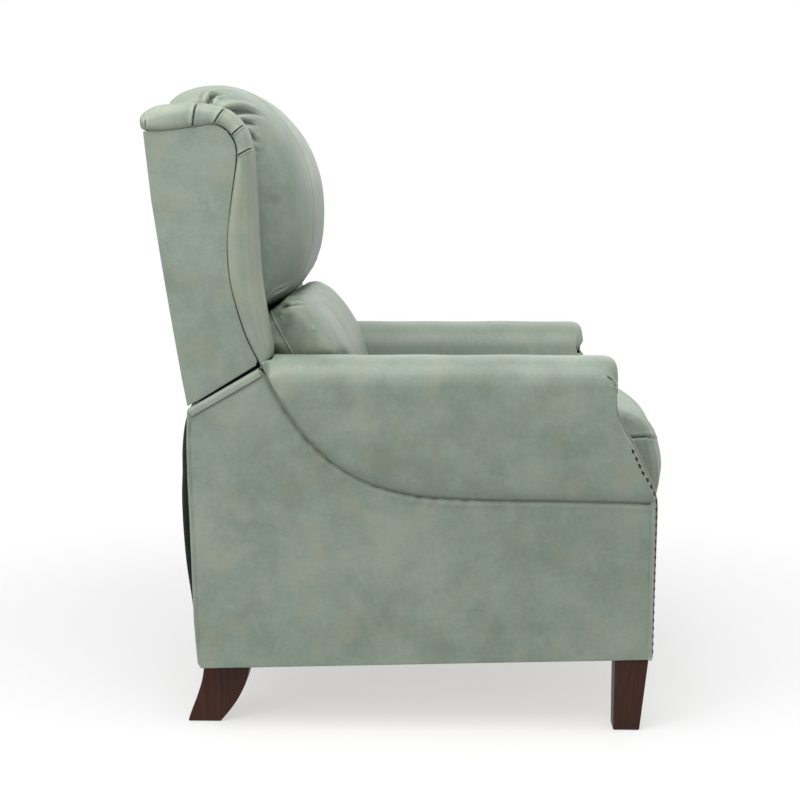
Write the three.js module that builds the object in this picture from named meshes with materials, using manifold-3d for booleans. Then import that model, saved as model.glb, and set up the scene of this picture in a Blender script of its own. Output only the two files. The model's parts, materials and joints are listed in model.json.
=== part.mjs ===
// A push-back wing recliner: upholstered sides with rolled arms, a hinged wing back with
// two pillows, and a leg rest that folds away under the seat.
// Millimetres, +Z up. The chair faces -Y, and "right" is the sitter's right, on the -X side.
// Side outlines are written as [ahead, up]: ahead runs towards the front, up from the floor.
import * as THREE from 'three';
import { mergeVertices } from 'three/addons/utils/BufferGeometryUtils.js';
import Module from 'manifold-3d';

const wasm = await Module();
wasm.setup();

// Clearances
const gap = 0.3;                 // between pieces that touch
const overrun = 4;               // how far a joined or cutting shape reaches past its neighbour
const turningGap = 0.2;          // round a pin

// Driving sizes of the whole chair
const armOuter = 400;            // half the width over the arms
const armWidth = 150;
const armOverhang = 12;          // how far the arms stand out past the side panels
const armInner = armOuter - armWidth;
const armTop = 628;
const sideFront = 428;           // front of the arm facings, ahead of the measuring line
const sideRear = -334;           // rear of the side panels
const sideOuter = armOuter - armOverhang;
const sideBottomRear = 105;
const sideBottomFront = 126;
const slopeLow = 543;            // where the side's sloping top edge starts, at the rear
const slopeHigh = 609;
const slopeFront = -222;
const wingRear = -413;
const wingFront = -200;
const wingBottom = 549;
const wingSetIn = 16;            // how far the wings' flat panels lie inside the side panels
const wingOuter = sideOuter - wingSetIn;
const wingThickness = 74;
const headTop = 1089;
const headCrown = 48;            // how far the head pillow stands above the wings
const wingTop = headTop - headCrown;
const headFront = -143;
const lumbarFront = -56;
const seatNose = 475;            // front of the seat cushion
const seatCrown = 530;
const pivotAhead = -262;         // where the back turns
const pivotUp = 390;

// Board and plate thicknesses
const frameBoard = 18;
const linkPlate = 4;
const sheetSteel = 3;
const panelBoard = 12;
const facingDepth = 12;
const innerPadding = 12;         // of the arms, over the side boards
const armPadding = 28;           // on top of the side boards

const degrees = Math.PI / 180;

// Finishes, as seen in the photograph
const finish = (color, roughness, metalness) =>
  new THREE.MeshStandardMaterial({ color, roughness, metalness });
const leather = finish(0x8b9587, 0.5, 0);
const legWood = finish(0x3f2b25, 0.4, 0);
const frameWood = finish(0xb79a6c, 0.8, 0);
const steel = finish(0x55585a, 0.45, 0.9);
const nailMetal = finish(0x7c6a4c, 0.35, 0.9);
const blackCloth = finish(0x1d2020, 0.9, 0);
const springSteel = finish(0x3a3d40, 0.5, 0.9);

// Shared shape helpers
const between = (from, to, share) => from + (to - from) * share;
const place = (box, shares) => shares.map(([a, b]) =>
  [between(box.rear, box.front, a), between(box.low, box.high, b)]);

function tidy(geometry) {
  geometry.deleteAttribute('normal');
  geometry.deleteAttribute('uv');
  return mergeVertices(geometry);
}

function solidOf(geometry) {
  const merged = tidy(geometry.clone());
  return new wasm.Manifold(new wasm.Mesh({
    numProp: 3,
    vertProperties: Float32Array.from(merged.attributes.position.array),
    triVerts: Uint32Array.from(merged.index.array),
  }));
}

function geometryOf(solid) {
  const mesh = solid.getMesh();
  const geometry = new THREE.BufferGeometry();
  geometry.setAttribute('position', new THREE.BufferAttribute(mesh.vertProperties, 3));
  geometry.setIndex(new THREE.BufferAttribute(mesh.triVerts, 1));
  geometry.computeVertexNormals();
  return geometry;
}

const join = (first, ...others) =>
  geometryOf(others.reduce((solid, other) => solid.add(solidOf(other)), solidOf(first)));
const cut = (first, ...others) =>
  geometryOf(others.reduce((solid, other) => solid.subtract(solidOf(other)), solidOf(first)));

// Turns a shape drawn as (ahead, up, outward to the right) into the chair's frame.
const sideways = new THREE.Matrix4().makeBasis(
  new THREE.Vector3(0, -1, 0), new THREE.Vector3(0, 0, 1), new THREE.Vector3(-1, 0, 0));

// A plate seen from the side, from inner to outer, which are distances right of the middle.
function sidePlate(outline, inner, outer, holes = []) {
  const shape = new THREE.Shape(outline.map(([ahead, up]) => new THREE.Vector2(ahead, up)));
  for (const hole of holes) {
    const ring = new THREE.Path();
    ring.absarc(hole.ahead, hole.up, hole.radius, 0, Math.PI * 2);
    shape.holes.push(ring);
  }
  const plate = new THREE.ExtrudeGeometry(shape,
    { depth: outer - inner, bevelEnabled: false, curveSegments: 8 });
  return plate.applyMatrix4(sideways).translate(-inner, 0, 0);
}

function box(rear, front, low, high, inner, outer) {
  return sidePlate([[rear, low], [front, low], [front, high], [rear, high]], inner, outer);
}

// A round bar across the chair.
function rod(ahead, up, radius, inner, outer, sides = 16) {
  return new THREE.CylinderGeometry(radius, radius, outer - inner, sides)
    .rotateZ(Math.PI / 2).translate(-(inner + outer) / 2, -ahead, up);
}

// A closed skin over rings of points. Each end is closed by a fan about a centre, or, where a
// ring runs out along one face of a wall and back along the other, by a strip between the two.
function skin(rings, { strip = false, centres = [] } = {}) {
  const count = rings[0].length;
  const toPlace = (point) => [-point.out, -point.ahead, point.up];
  const places = rings.flat().flatMap(toPlace);
  const faces = [];
  for (let ring = 0; ring + 1 < rings.length; ring += 1) {
    for (let k = 0; k < count; k += 1) {
      const here = ring * count + k;
      const next = ring * count + (k + 1) % count;
      faces.push(here, next, next + count, here, next + count, here + count);
    }
  }
  const closeEnd = (ring, turned, centre) => {
    const start = ring * count;
    const face = (i, j, k) => faces.push(...(turned ? [i, k, j] : [i, j, k]));
    if (strip) {
      for (let k = 0; k + 1 < count / 2; k += 1) {
        face(start + k, start + k + 1, start + count - 2 - k);
        face(start + k, start + count - 2 - k, start + count - 1 - k);
      }
      return;
    }
    const middle = places.length / 3;
    const mean = (key) => rings[ring].reduce((sum, point) => sum + point[key], 0) / count;
    places.push(...toPlace(centre ?? { out: mean('out'), ahead: mean('ahead'), up: mean('up') }));
    for (let k = 0; k < count; k += 1) face(start + k, start + (k + 1) % count, middle);
  };
  closeEnd(0, true, centres[0]);
  closeEnd(rings.length - 1, false, centres[1]);
  const geometry = new THREE.BufferGeometry();
  geometry.setAttribute('position', new THREE.Float32BufferAttribute(places, 3));
  geometry.setIndex(faces);
  if (solidOf(geometry).volume() <= 0) turnInsideOut(geometry);
  geometry.computeVertexNormals();
  return geometry;
}

function turnInsideOut(geometry) {
  const faces = geometry.index.array;
  for (let k = 0; k < faces.length; k += 3) {
    [faces[k + 1], faces[k + 2]] = [faces[k + 2], faces[k + 1]];
  }
}

function mirrored(geometry) {
  const copy = tidy(geometry.clone()).scale(-1, 1, 1);
  turnInsideOut(copy);
  copy.computeVertexNormals();
  return copy;
}

// The assembly: one group for each body that moves as a whole
const chair = new THREE.Group();
const bodies = {};
for (const name of ['base', 'backrest', 'swing_links', 'seat', 'lower_leg_links',
  'upper_leg_links', 'leg_rest']) {
  bodies[name] = new THREE.Group();
  bodies[name].name = name;
  chair.add(bodies[name]);
}

function add(body, name, geometry, material) {
  const mesh = new THREE.Mesh(geometry, material);
  mesh.name = name;
  bodies[body].add(mesh);
  return mesh;
}

// The right piece is drawn, and the left one is its mirror image.
function addPair(body, name, geometry, material) {
  add(body, `right_${name}`, geometry, material);
  add(body, `left_${name}`, mirrored(geometry), material);
}

// Two equal pieces that turn on a pivot, drawn about that pivot and placed at it
function addTurnedPair(body, name, geometry, material, pivot, angle) {
  for (const [side, drawn] of [['right', geometry], ['left', mirrored(geometry)]]) {
    const mesh = add(body, `${side}_${name}`, drawn, material);
    mesh.position.set(0, -pivot.ahead, pivot.up);
    mesh.rotation.x = -angle * degrees;
  }
}

// The lean of the back: its outside face at a height
const backLeanShare = 0.154;
const backSetBack = 4;           // behind the side panels
const backFace = (up) => sideRear - gap - backSetBack - (up - wingBottom) * backLeanShare;

// Base sides
const sideBottom = (ahead) =>
  between(sideBottomRear, sideBottomFront, (ahead - sideRear) / (sideFront - sideRear));
const frameInner = armInner + innerPadding;      // inner face of the side boards
const frameOuter = frameInner + frameBoard;
const sideInner = sideOuter - panelBoard;        // inner face of the outer side panels
const armCavityTop = armTop - armPadding;        // underside of the padding on the arm
const rearLean = 14;                             // the rear edge leans in towards the floor

// The front edge of the arm, from the floor end up to the nose: [ahead, up]
const facingBox = { rear: sideFront - 67, front: sideFront, low: armTop - 235, high: armTop - 63 };
const facingShares = [[1, 0], [0.61, 0.32], [0.22, 0.59], [0.06, 0.75], [0, 1]];
const facingCurve = place(facingBox, facingShares);

function facingAhead(up) {
  if (up <= facingCurve[0][1]) return sideFront;
  for (let k = 0; k + 1 < facingCurve.length; k += 1) {
    const [ahead, low] = facingCurve[k];
    const [nextAhead, high] = facingCurve[k + 1];
    if (up <= high) return between(ahead, nextAhead, (up - low) / (high - low));
  }
  return facingCurve.at(-1)[0];
}

function makeBaseSides() {
  const behindFacing = facingCurve.map(([ahead, up]) => [ahead - facingDepth - gap, up]);
  const frontLow = sideFront - facingDepth - gap;
  const boardTop = armCavityTop - gap;
  const boardFrontTop = behindFacing.at(-1);
  const frameOutline = [
    [sideRear + rearLean + panelBoard + gap, sideBottom(sideRear)],
    [frontLow, sideBottom(sideFront)],
    ...behindFacing,
    [boardFrontTop[0], boardTop],
    [slopeFront + panelBoard, boardTop],
    [slopeFront, slopeHigh - panelBoard - gap],
    [sideRear + panelBoard + gap, slopeLow - panelBoard],
  ];
  addPair('base', 'side_frame', sidePlate(frameOutline, frameInner, frameOuter), frameWood);

  const panelOutline = [
    [sideRear + rearLean, sideBottom(sideRear)],
    [frontLow, sideBottom(sideFront)],
    ...behindFacing,
    [boardFrontTop[0], boardTop],
    [slopeFront + panelBoard, boardTop],
    [slopeFront, slopeHigh],
    [sideRear, slopeLow],
  ];
  const rearReturn = sidePlate([
    [sideRear + rearLean, sideBottom(sideRear)],
    [sideRear + rearLean + panelBoard, sideBottom(sideRear)],
    [sideRear + panelBoard, slopeLow - panelBoard],
    [sideRear, slopeLow],
  ], frameOuter + gap, sideOuter - panelBoard + overrun);
  const slopeCap = sidePlate([
    [sideRear, slopeLow],
    [sideRear + panelBoard, slopeLow - panelBoard],
    [slopeFront, slopeHigh - panelBoard],
    [slopeFront, slopeHigh],
  ], frameOuter + gap, sideOuter - panelBoard + overrun);
  const panel = sidePlate(panelOutline, sideInner, sideOuter);
  addPair('base', 'outer_side_panel', join(panel, rearReturn, slopeCap), leather);

  const railHeight = 42;
  const railRear = sideRear + rearLean + panelBoard + overrun;
  addPair('base', 'bottom_rail', sidePlate([
    [railRear, sideBottom(railRear)],
    [frontLow, sideBottom(frontLow)],
    [frontLow, sideBottom(frontLow) + railHeight],
    [railRear, sideBottom(railRear) + railHeight],
  ], frameOuter + gap, sideInner - gap), frameWood);

  const proud = 3;
  const facingOuter = sideOuter + proud;
  const facingOutline = [
    [sideFront - facingDepth, sideBottom(sideFront)],
    [sideFront, sideBottom(sideFront)],
    ...facingCurve,
    ...facingCurve.map(([ahead, up]) => [ahead - facingDepth, up]).reverse(),
  ];
  const tongueRear = facingBox.rear - facingDepth + overrun / 2;
  const tongue = box(tongueRear, facingBox.rear, facingBox.high - overrun, armCavityTop - gap,
    frameInner, sideOuter);
  addPair('base', 'arm_front_facing',
    join(sidePlate(facingOutline, armInner, facingOuter), tongue), leather);
  addPair('base', 'nail_trim', makeNailTrim(facingOuter + gap), nailMetal);
}

// Decorative nail heads along the outer corner of a facing, on their thin strip
function makeNailTrim(inner) {
  const pitch = 13.4;
  const headRadius = 4;
  const headHeight = 2.6;
  const stripThickness = 1.2;
  const stripHalf = 3;
  const topOfRow = facingBox.low + 78;
  const inset = facingDepth / 3;
  const lowest = sideBottom(sideFront) + pitch;
  const middle = [[sideFront - inset, lowest]];
  for (const [ahead, up] of facingCurve) if (up < topOfRow) middle.push([ahead - inset, up]);
  middle.push([facingAhead(topOfRow) - inset, topOfRow]);
  const strip = sidePlate([
    ...middle.map(([ahead, up]) => [ahead - stripHalf, up]),
    ...middle.map(([ahead, up]) => [ahead + stripHalf, up]).reverse(),
  ], inner, inner + stripThickness);
  const heads = [];
  const endShare = 0.25;
  let walked = pitch / 2;
  for (let k = 0; k + 1 < middle.length; k += 1) {
    const from = new THREE.Vector2(...middle[k]);
    const to = new THREE.Vector2(...middle[k + 1]);
    const length = from.distanceTo(to);
    for (; walked < length - pitch * endShare; walked += pitch) {
      const spot = from.clone().lerp(to, walked / length);
      heads.push(new THREE.CylinderGeometry(headRadius / 2, headRadius, headHeight, 5)
        .rotateZ(Math.PI / 2).translate(-(inner + headHeight / 2), -spot.x, spot.y));
    }
    walked -= length;
  }
  return join(strip, ...heads);
}

// The padded rolled arm: a skin over the side boards, open underneath
function makeArm() {
  const seamBox = { rear: slopeFront + 8, low: facingBox.low, high: armTop - 12 };
  // The seam under the arm, from the rear: [share of the arm's length, share of its drop]
  const seamShares = [[0, 1], [0.045, 0.75], [0.097, 0.53], [0.148, 0.37], [0.2, 0.26],
    [0.278, 0.14], [0.357, 0.072], [0.436, 0.036], [0.567, 0.023], [0.723, 0.018],
    [0.879, 0.014], [0.98, 0.004], [1, 0]];
  const topRear = seamBox.rear + 15;
  const noseFront = facingBox.rear + 7;
  const noseLift = 8;
  const noseLow = facingBox.high + noseLift;
  const innerLow = armTop - 266;
  const lip = 4;
  const bulge = armOverhang - gap;
  const nosePull = 5;
  const shoulder = 46;
  const wallBow = 0.5;
  const innerBow = 1.5;
  const noseDraw = 28;
  const noseSharpness = 12;
  const shoulderShare = 0.4;
  // Across the roll from the outer shoulder to the inner one: [share of the width, share down]
  const rollShares = [[0.003, 1], [0.035, 0.5], [0.15, 0.13], [0.4, 0], [0.68, 0.05],
    [0.88, 0.3], [0.975, 0.7], [0.995, 1.25]];
  // How far the nose draws back at each of those steps, seen from the side
  const noseBackShares = [0, 0.1, 0.45, 1, 0.9, 0.5, 0.15, 0];
  const bulgeShares = [0.4, 0.8, 0.97, 1, 0.99];
  // The walls have a row of points at each corner of the arm's front edge.
  const wallShares = facingCurve.map(([, up]) =>
    (up - facingBox.low) / (armTop - shoulder - facingBox.low));
  const arch = (share) => 4 * share * (1 - share);

  const rings = seamShares.map(([along, rise], station) => {
    const seamUp = between(seamBox.low, seamBox.high, rise);
    const pull = station === seamShares.length - 1 ? nosePull : 0;
    const start = Math.min(seamUp, armTop - lip * 3);
    const shoulderUp = Math.max(armTop - shoulder, between(start, armTop, shoulderShare));
    const aheadAt = (rear, up) =>
      between(rear, up < noseLow ? facingAhead(up) - facingDepth - gap : noseFront, along);
    const wallRear = (share) => between(seamBox.rear, topRear, share);
    const outerFace = wallShares.map((share, k) => {
      const up = between(start, shoulderUp, share);
      return {
        out: sideOuter + gap + lip + (bulge - lip) * bulgeShares[k] - pull * bulgeShares[k] / 2,
        ahead: aheadAt(wallRear(share), up),
        up,
      };
    });
    const roll = rollShares.map(([across, down], k) => {
      const drop = across < 0.5 ? armTop - shoulderUp : shoulder;
      const up = armTop - drop * down;
      const drawnIn = armOuter - armWidth * across + pull * (across - 0.5) * 2;
      const besideBoard = across > 0.5 && up < armCavityTop + lip;
      return {
        out: besideBoard ? Math.min(drawnIn, frameInner - gap - lip) : drawnIn,
        ahead: aheadAt(topRear, up) - noseDraw * noseBackShares[k] * along ** noseSharpness,
        up,
      };
    });
    const innerHeights = [innerLow, ...facingCurve.map(([, up]) => up)];
    const innerWall = innerHeights.map((up) => ({
      out: armInner - innerBow * arch((up - innerLow) / (facingBox.high - innerLow)),
      ahead: aheadAt(topRear, up),
      up,
    }));
    const innerBack = innerHeights.map((up) => ({
      out: frameInner - gap - wallBow * arch((up - innerLow) / (facingBox.high - innerLow)),
      ahead: aheadAt(topRear, up),
      up,
    }));
    const outerBack = wallShares.map((share) => {
      const up = between(start, Math.min(shoulderUp, armCavityTop), share);
      return {
        out: sideOuter + gap + wallBow * arch(share),
        ahead: aheadAt(wallRear(share), up),
        up,
      };
    });
    const ceiling = rollShares.map((step, k) => ({
      out: between(sideOuter + gap, frameInner - gap, k / (rollShares.length - 1)),
      ahead: aheadAt(topRear, armCavityTop),
      up: armCavityTop,
    }));
    const outside = [...outerFace, ...roll, ...innerWall.reverse()];
    const inside = [...outerBack, ...ceiling, ...innerBack.reverse()];
    return [...outside, ...inside.reverse()];
  });
  return skin(rings, { strip: true });
}

// Legs
const legTop = (ahead) => sideBottom(ahead) - gap;

function makeLegs() {
  const setIn = { front: 4, side: 2, sabreSide: 41, sabreFoot: 19 };
  const thick = 54;
  const front = {
    rear: sideFront - 60,
    front: sideFront - setIn.front,
    foot: sideFront - 16,
    inner: sideOuter - setIn.side - thick,
    outer: sideOuter - setIn.side,
    taper: 12,
  };
  const block = sidePlate([
    [front.rear, 0], [front.foot, 0], [front.front, legTop(front.front)],
    [front.rear, legTop(front.rear)],
  ], front.inner, front.outer);
  const wedge = (edge, toward) => new THREE.ExtrudeGeometry(new THREE.Shape([
    new THREE.Vector2(edge, 0),
    new THREE.Vector2(edge + toward * front.taper, 0),
    new THREE.Vector2(edge, sideBottomFront),
  ]), { depth: front.front - front.rear + overrun * 2, bevelEnabled: false })
    .rotateX(Math.PI / 2).translate(0, -(front.rear - overrun), 0);
  addPair('base', 'front_leg', cut(block, wedge(-front.outer, 1)), legWood);

  const sabre = {
    rear: sideRear - setIn.sabreFoot,
    front: sideRear + 86,
    inner: sideOuter - setIn.sabreSide - thick,
    outer: sideOuter - setIn.sabreSide,
  };
  const sabreBox = { rear: sabre.rear, front: sabre.front, low: 0, high: legTop(sabre.rear) };
  const sabreShares = [[0, 0], [0.53, 0], [0.64, 0.12], [0.77, 0.28], [0.89, 0.5],
    [0.97, 0.75], [1, 1], [0.28, 1], [0.24, 0.75], [0.17, 0.5], [0.08, 0.25]];
  const outline = place(sabreBox, sabreShares);
  addPair('base', 'rear_leg', sidePlate(outline, sabre.inner, sabre.outer), legWood);
}

// Cross members and the cloth at the rear
const rail = { halfWidth: frameInner - gap, thickness: 20 };

function makeCrossRails() {
  const rails = [
    { name: 'front_rail', rear: sideFront - 92, low: sideBottomFront - 10, height: 40 },
    { name: 'rear_rail', rear: sideRear + rearLean + panelBoard, low: sideBottomRear + 3, height: 52 },
    { name: 'rear_upper_rail', rear: sideRear + 2, low: pivotUp - 68, height: 44 },
  ];
  for (const { name, rear, low, height } of rails) {
    add('base', name, box(rear, rear + rail.thickness, low, low + height,
      -rail.halfWidth, rail.halfWidth), frameWood);
  }
}

const curtain = {
  halfWidth: frameInner + 38,
  low: sideBottomRear + 7,
  top: pivotUp - 6,
  split: pivotUp + 34,
  thickness: 3,
  slack: 27,
  standOff: 0.9,
};

function makeCurtains() {
  const acrossShares = [-1, -0.9, -0.6, -0.2, 0.2, 0.6, 0.9, 1];
  const upShares = [0, 0.12, 0.3, 0.5, 0.7, 0.88, 1];
  const heldTopShare = 0.85;
  const heldEdgeShare = 0.97;
  const rings = acrossShares.map((across) => {
    const surface = (share, inset) => {
      const up = between(curtain.low, curtain.top, share);
      const edge = between(sideRear + rearLean, sideRear, (up - sideBottomRear)
        / (slopeLow - sideBottomRear));
      const swell = curtain.slack * Math.sin(Math.PI * heldTopShare * share)
        * (1 - heldEdgeShare * Math.abs(across) ** 3);
      return { out: across * curtain.halfWidth, ahead: edge - curtain.standOff - inset - swell, up };
    };
    return [...upShares.map((share) => surface(share, 0)),
      ...upShares.map((share) => surface(share, curtain.thickness)).reverse()];
  });
  add('base', 'rear_curtain', skin(rings, { strip: true }), blackCloth);

  const face = (up) => backFace(up) + backSetBack;
  const top = wingBottom - gap;
  add('backrest', 'back_apron', sidePlate([
    [face(curtain.split), curtain.split],
    [face(curtain.split) + panelBoard, curtain.split],
    [face(top) + panelBoard, top],
    [face(top), top],
  ], -back.postOuter, back.postOuter), blackCloth);
}

// Backrest: two posts and three rails carry the wings, the outside panel and the pillows.
const plateInner = frameInner - 39;
const plate = { inner: plateInner, outer: plateInner + sheetSteel, low: 308, high: 343 };
const hingeArm = { inner: plate.inner - gap - sheetSteel, outer: plate.inner - gap };
const postWidth = 40;
const backPostSize = { belowPivot: 140, belowHead: 104 };
const back = {
  postInner: hingeArm.inner - gap - postWidth,
  postOuter: hingeArm.inner - gap,
  postDepth: 26,
  postLow: pivotUp - backPostSize.belowPivot,
  postTop: headTop - backPostSize.belowHead,
  railDepth: 20,
  halfWidth: wingOuter - wingThickness - gap,
};
const postRear = (up) => backFace(up) + backSetBack + panelBoard + gap;
const railRear = (up) => postRear(up) + back.postDepth + gap;
const cushionRear = (up) => railRear(up) + back.railDepth + gap;

// The back turns on its pivot. Below it, its hinge arms hold the rear of the seat, and the swing
// links that hold the front of the seat are as long and as steep, so that the seat stays level.
const pivot = { ahead: pivotAhead, up: pivotUp, radius: 6 };
const swing = { length: 124, startLean: -8, radius: 5, width: 24 };
const below = (point) => ({
  ahead: point.ahead + swing.length * Math.sin(swing.startLean * degrees),
  up: point.up - swing.length * Math.cos(swing.startLean * degrees),
});
const seatRearPin = below(pivot);
const swingPivot = { ahead: pivotAhead + 429, up: pivotUp - 67 };
const seatFrontPin = below(swingPivot);

function makeBackFrame() {
  const railHeight = 54;
  addPair('backrest', 'back_post', sidePlate([
    [postRear(back.postLow), back.postLow],
    [railRear(back.postLow) - gap, back.postLow],
    [railRear(back.postTop) - gap, back.postTop],
    [postRear(back.postTop), back.postTop],
  ], back.postInner, back.postOuter), frameWood);
  const rails = [
    { name: 'back_top_rail', low: back.postTop - railHeight, half: back.halfWidth },
    { name: 'back_middle_rail', low: armTop + 8, half: back.halfWidth },
    { name: 'back_bottom_rail', low: curtain.split, half: back.postOuter },
  ];
  for (const { name, low, half } of rails) {
    const high = low + railHeight;
    add('backrest', name, sidePlate([
      [railRear(low), low], [cushionRear(low) - gap, low],
      [cushionRear(high) - gap, high], [railRear(high), high],
    ], -half, half), frameWood);
  }
  const panelTop = back.postTop + 18;
  const footRise = (slopeHigh - slopeLow) / (slopeFront - sideRear);
  const footHigh = wingBottom + (panelBoard + backSetBack) * footRise;
  add('backrest', 'outside_back_panel', sidePlate([
    [backFace(wingBottom), wingBottom],
    [postRear(footHigh) - gap, footHigh],
    [postRear(panelTop) - gap, panelTop],
    [backFace(panelTop), panelTop],
  ], -back.halfWidth, back.halfWidth), leather);
}

function makeHingeArms() {
  const edge = 14;
  const toe = 21;
  const top = pivot.up + 42;
  const bottom = seatRearPin.up - edge;
  const sheet = sidePlate([
    [seatRearPin.ahead - edge, bottom],
    [seatRearPin.ahead + toe, bottom],
    [pivot.ahead + edge, pivot.up - edge],
    [pivot.ahead + edge, pivot.up + edge],
    [pivot.ahead - edge, top],
    [postRear(top) + overrun, top],
    [seatRearPin.ahead - edge, seatRearPin.up + edge],
  ], hingeArm.inner, hingeArm.outer,
  [{ ...pivot, radius: pivot.radius + turningGap }]);
  addPair('backrest', 'back_hinge_arm', join(sheet,
    ...rivet(seatRearPin, swing.radius, hingeArm.outer - sheetSteel / 2, plate.outer)), steel);
}

// Wings
const wingBox = { rear: wingRear, front: wingFront, low: wingBottom, high: wingTop };
// The seam between the flat wing panel and its padded roll, from the rear top to the front foot
const wingSeamShares = [[0.038, 0.904], [0.13, 0.906], [0.244, 0.909], [0.432, 0.919],
  [0.587, 0.927], [0.685, 0.904], [0.737, 0.866], [0.746, 0.811], [0.704, 0.681],
  [0.671, 0.549], [0.681, 0.435], [0.728, 0.335], [0.798, 0.236], [0.892, 0.15]];
// The roll's outer edge at the same stations
const wingEdgeShares = [[0, 0.945], [0.06, 0.975], [0.2, 0.995], [0.423, 1],
  [0.653, 0.982], [0.789, 0.935], [0.854, 0.876], [0.883, 0.795], [0.906, 0.648],
  [0.927, 0.51], [0.948, 0.408], [0.972, 0.317], [1, 0.232], [0.958, 0.154]];
const wingRearShares = [[0.352, 0], [0.873, 0.132]];

function makeWings() {
  const seam = place(wingBox, wingSeamShares);
  const foot = place(wingBox, wingRearShares);
  const outline = [...foot, ...[...seam].reverse()];
  const inner = wingOuter - wingThickness;
  addPair('backrest', 'wing', sidePlate(outline, inner, wingOuter), leather);

  const edge = place(wingBox, wingEdgeShares);
  const proud = 6;
  const width = wingThickness + proud;
  // Round the roll from the outer seam to the inner one: [share of the width, share out to the edge]
  const rollShares = [[0.05, 0], [0, 0.35], [0.05, 0.7], [0.22, 0.93], [0.48, 1],
    [0.75, 0.92], [0.93, 0.68], [1, 0.3], [1, 0]];
  const rings = seam.map(([ahead, up], station) => {
    const toward = new THREE.Vector2(edge[station][0] - ahead, edge[station][1] - up);
    const start = gap * 2 / toward.length();
    return rollShares.map(([across, outward]) => ({
      out: wingOuter + proud - width * across,
      ahead: ahead + toward.x * Math.max(outward, start),
      up: up + toward.y * Math.max(outward, start),
    }));
  });
  addPair('backrest', 'wing_roll', skin(rings), leather);
}

// A pillow: its middle section as an outline, drawn in towards both ends
const endFrom = 0.9;             // the share of the half width where the rounded end starts

function pillow(outline, halfWidth, core, shrink) {
  const acrossShares = [-1, -0.985, -0.93, -0.82, -0.62, -0.34, 0, 0.34, 0.62, 0.82, 0.93,
    0.985, 1];
  const rings = acrossShares.map((across) => {
    const reach = Math.abs(across);
    return outline.map(([ahead, up, firm = 0]) => {
      const fall = shrink.side * reach ** 3 + shrink.end * Math.max(0, reach - endFrom) / (1 - endFrom);
      const keep = 1 - fall * (1 - firm);
      return {
        out: across * (typeof halfWidth === 'function' ? halfWidth(up) : halfWidth),
        ahead: between(core.ahead, ahead, keep),
        up: between(core.up, up, keep),
      };
    });
  });
  const centres = [-1, 1].map((side) => ({
    out: side * (typeof halfWidth === 'function' ? halfWidth(core.up) : halfWidth), ...core }));
  return skin(rings, { centres });
}

const ease = { seat: 3, lumbar: 4, head: 5 };    // between each cushion's sides and what is beside
const headSize = { depth: 261, height: 345, coreSetBack: 182, coreDrop: 174 };
const lumbarSize = { belowSeatCrown: 27, coreSetBack: 144, belowHead: 6 };

function makePillows() {
  const headBox = {
    rear: headFront - headSize.depth, front: headFront,
    low: headTop - headSize.height, high: headTop,
  };
  const headCore = { ahead: headFront - headSize.coreSetBack, up: headTop - headSize.coreDrop };
  const headShares = [[0.9, 0.01], [0.95, 0.09], [0.99, 0.21], [1, 0.34], [0.97, 0.52],
    [0.87, 0.69], [0.69, 0.87], [0.5, 0.965], [0.25, 1], [0.07, 0.975], [0, 0.9],
    [0, 0.77]];
  const firmFrom = headShares.length - 1;
  const head = place(headBox, headShares).map((point, k) =>
    [...point, k < firmFrom - 1 ? 0 : (k - firmFrom + 2) / 2]);
  const aboveRail = 20;
  const headRear = [
    [cushionRear(back.postTop), back.postTop + aboveRail, 1],
    [cushionRear(back.postTop), back.postTop, 1],
    [cushionRear(headBox.low + aboveRail), headBox.low + aboveRail, 1],
    [cushionRear(headBox.low) + aboveRail, headBox.low, 0],
  ];
  const headHalf = back.halfWidth - ease.head;
  add('backrest', 'head_pillow', pillow([...head, ...headRear], headHalf, headCore,
    { side: 0.16, end: 0.14 }), leather);

  const lumbarBox = {
    rear: cushionRear(armTop), front: lumbarFront,
    low: seatCrown - lumbarSize.belowSeatCrown, high: headBox.low - lumbarSize.belowHead,
  };
  const lumbarCore = { ahead: lumbarFront - lumbarSize.coreSetBack, up: armTop };
  const lumbarShares = [[0.55, 1], [0.68, 0.95], [0.77, 0.85], [0.84, 0.755], [0.9, 0.645],
    [0.95, 0.52], [0.99, 0.375], [1, 0.24], [0.98, 0.11], [0.88, 0.015], [0.3, 0]];
  const lumbar = place(lumbarBox, lumbarShares);
  const corner = 14;
  const overArm = { low: armTop + overrun, high: armTop + overrun * 10 };
  const lumbarRear = [
    [cushionRear(lumbarBox.low + corner), lumbarBox.low + corner, 1],
    [cushionRear(overArm.low), overArm.low, 1],
    [cushionRear(overArm.high), overArm.high, 1],
    [cushionRear(lumbarBox.high - corner), lumbarBox.high - corner, 1],
    [cushionRear(lumbarBox.high) + corner, lumbarBox.high, 1],
  ];
  const narrow = armInner - ease.lumbar;
  const wide = headHalf - ease.lumbar;
  const lumbarHalf = (up) => between(narrow, wide,
    THREE.MathUtils.smoothstep(up, overArm.low, overArm.high));
  add('backrest', 'lumbar_pillow', pillow([...lumbar, ...lumbarRear], lumbarHalf, lumbarCore,
    { side: 0.1, end: 0.12 }), leather);
}

// Seat: two steel side plates, two wooden rails, zigzag springs and the cushion
const linkInner = plate.outer + gap;             // the plane of the swing and lower leg links
const linkOuter = linkInner + linkPlate;
const upperInner = linkOuter + gap;              // the plane of the upper leg links
const upperOuter = upperInner + linkPlate;
const seatRail = { width: 32, behindLegPivot: 15, aheadOfBackPivot: 144 };
const legPivotSetBack = 110;                     // from the front of the seat cushion
const legPivot = { ahead: seatNose - legPivotSetBack, up: 332, radius: 5 };
const seatRailFront = legPivot.ahead - seatRail.behindLegPivot;
const seatRailRear = pivotAhead + seatRail.aheadOfBackPivot;
const seatRails = [
  { name: 'seat_front_rail', rear: seatRailFront - seatRail.width, front: seatRailFront },
  { name: 'seat_rear_rail', rear: seatRailRear, front: seatRailRear + seatRail.width },
];

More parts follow.
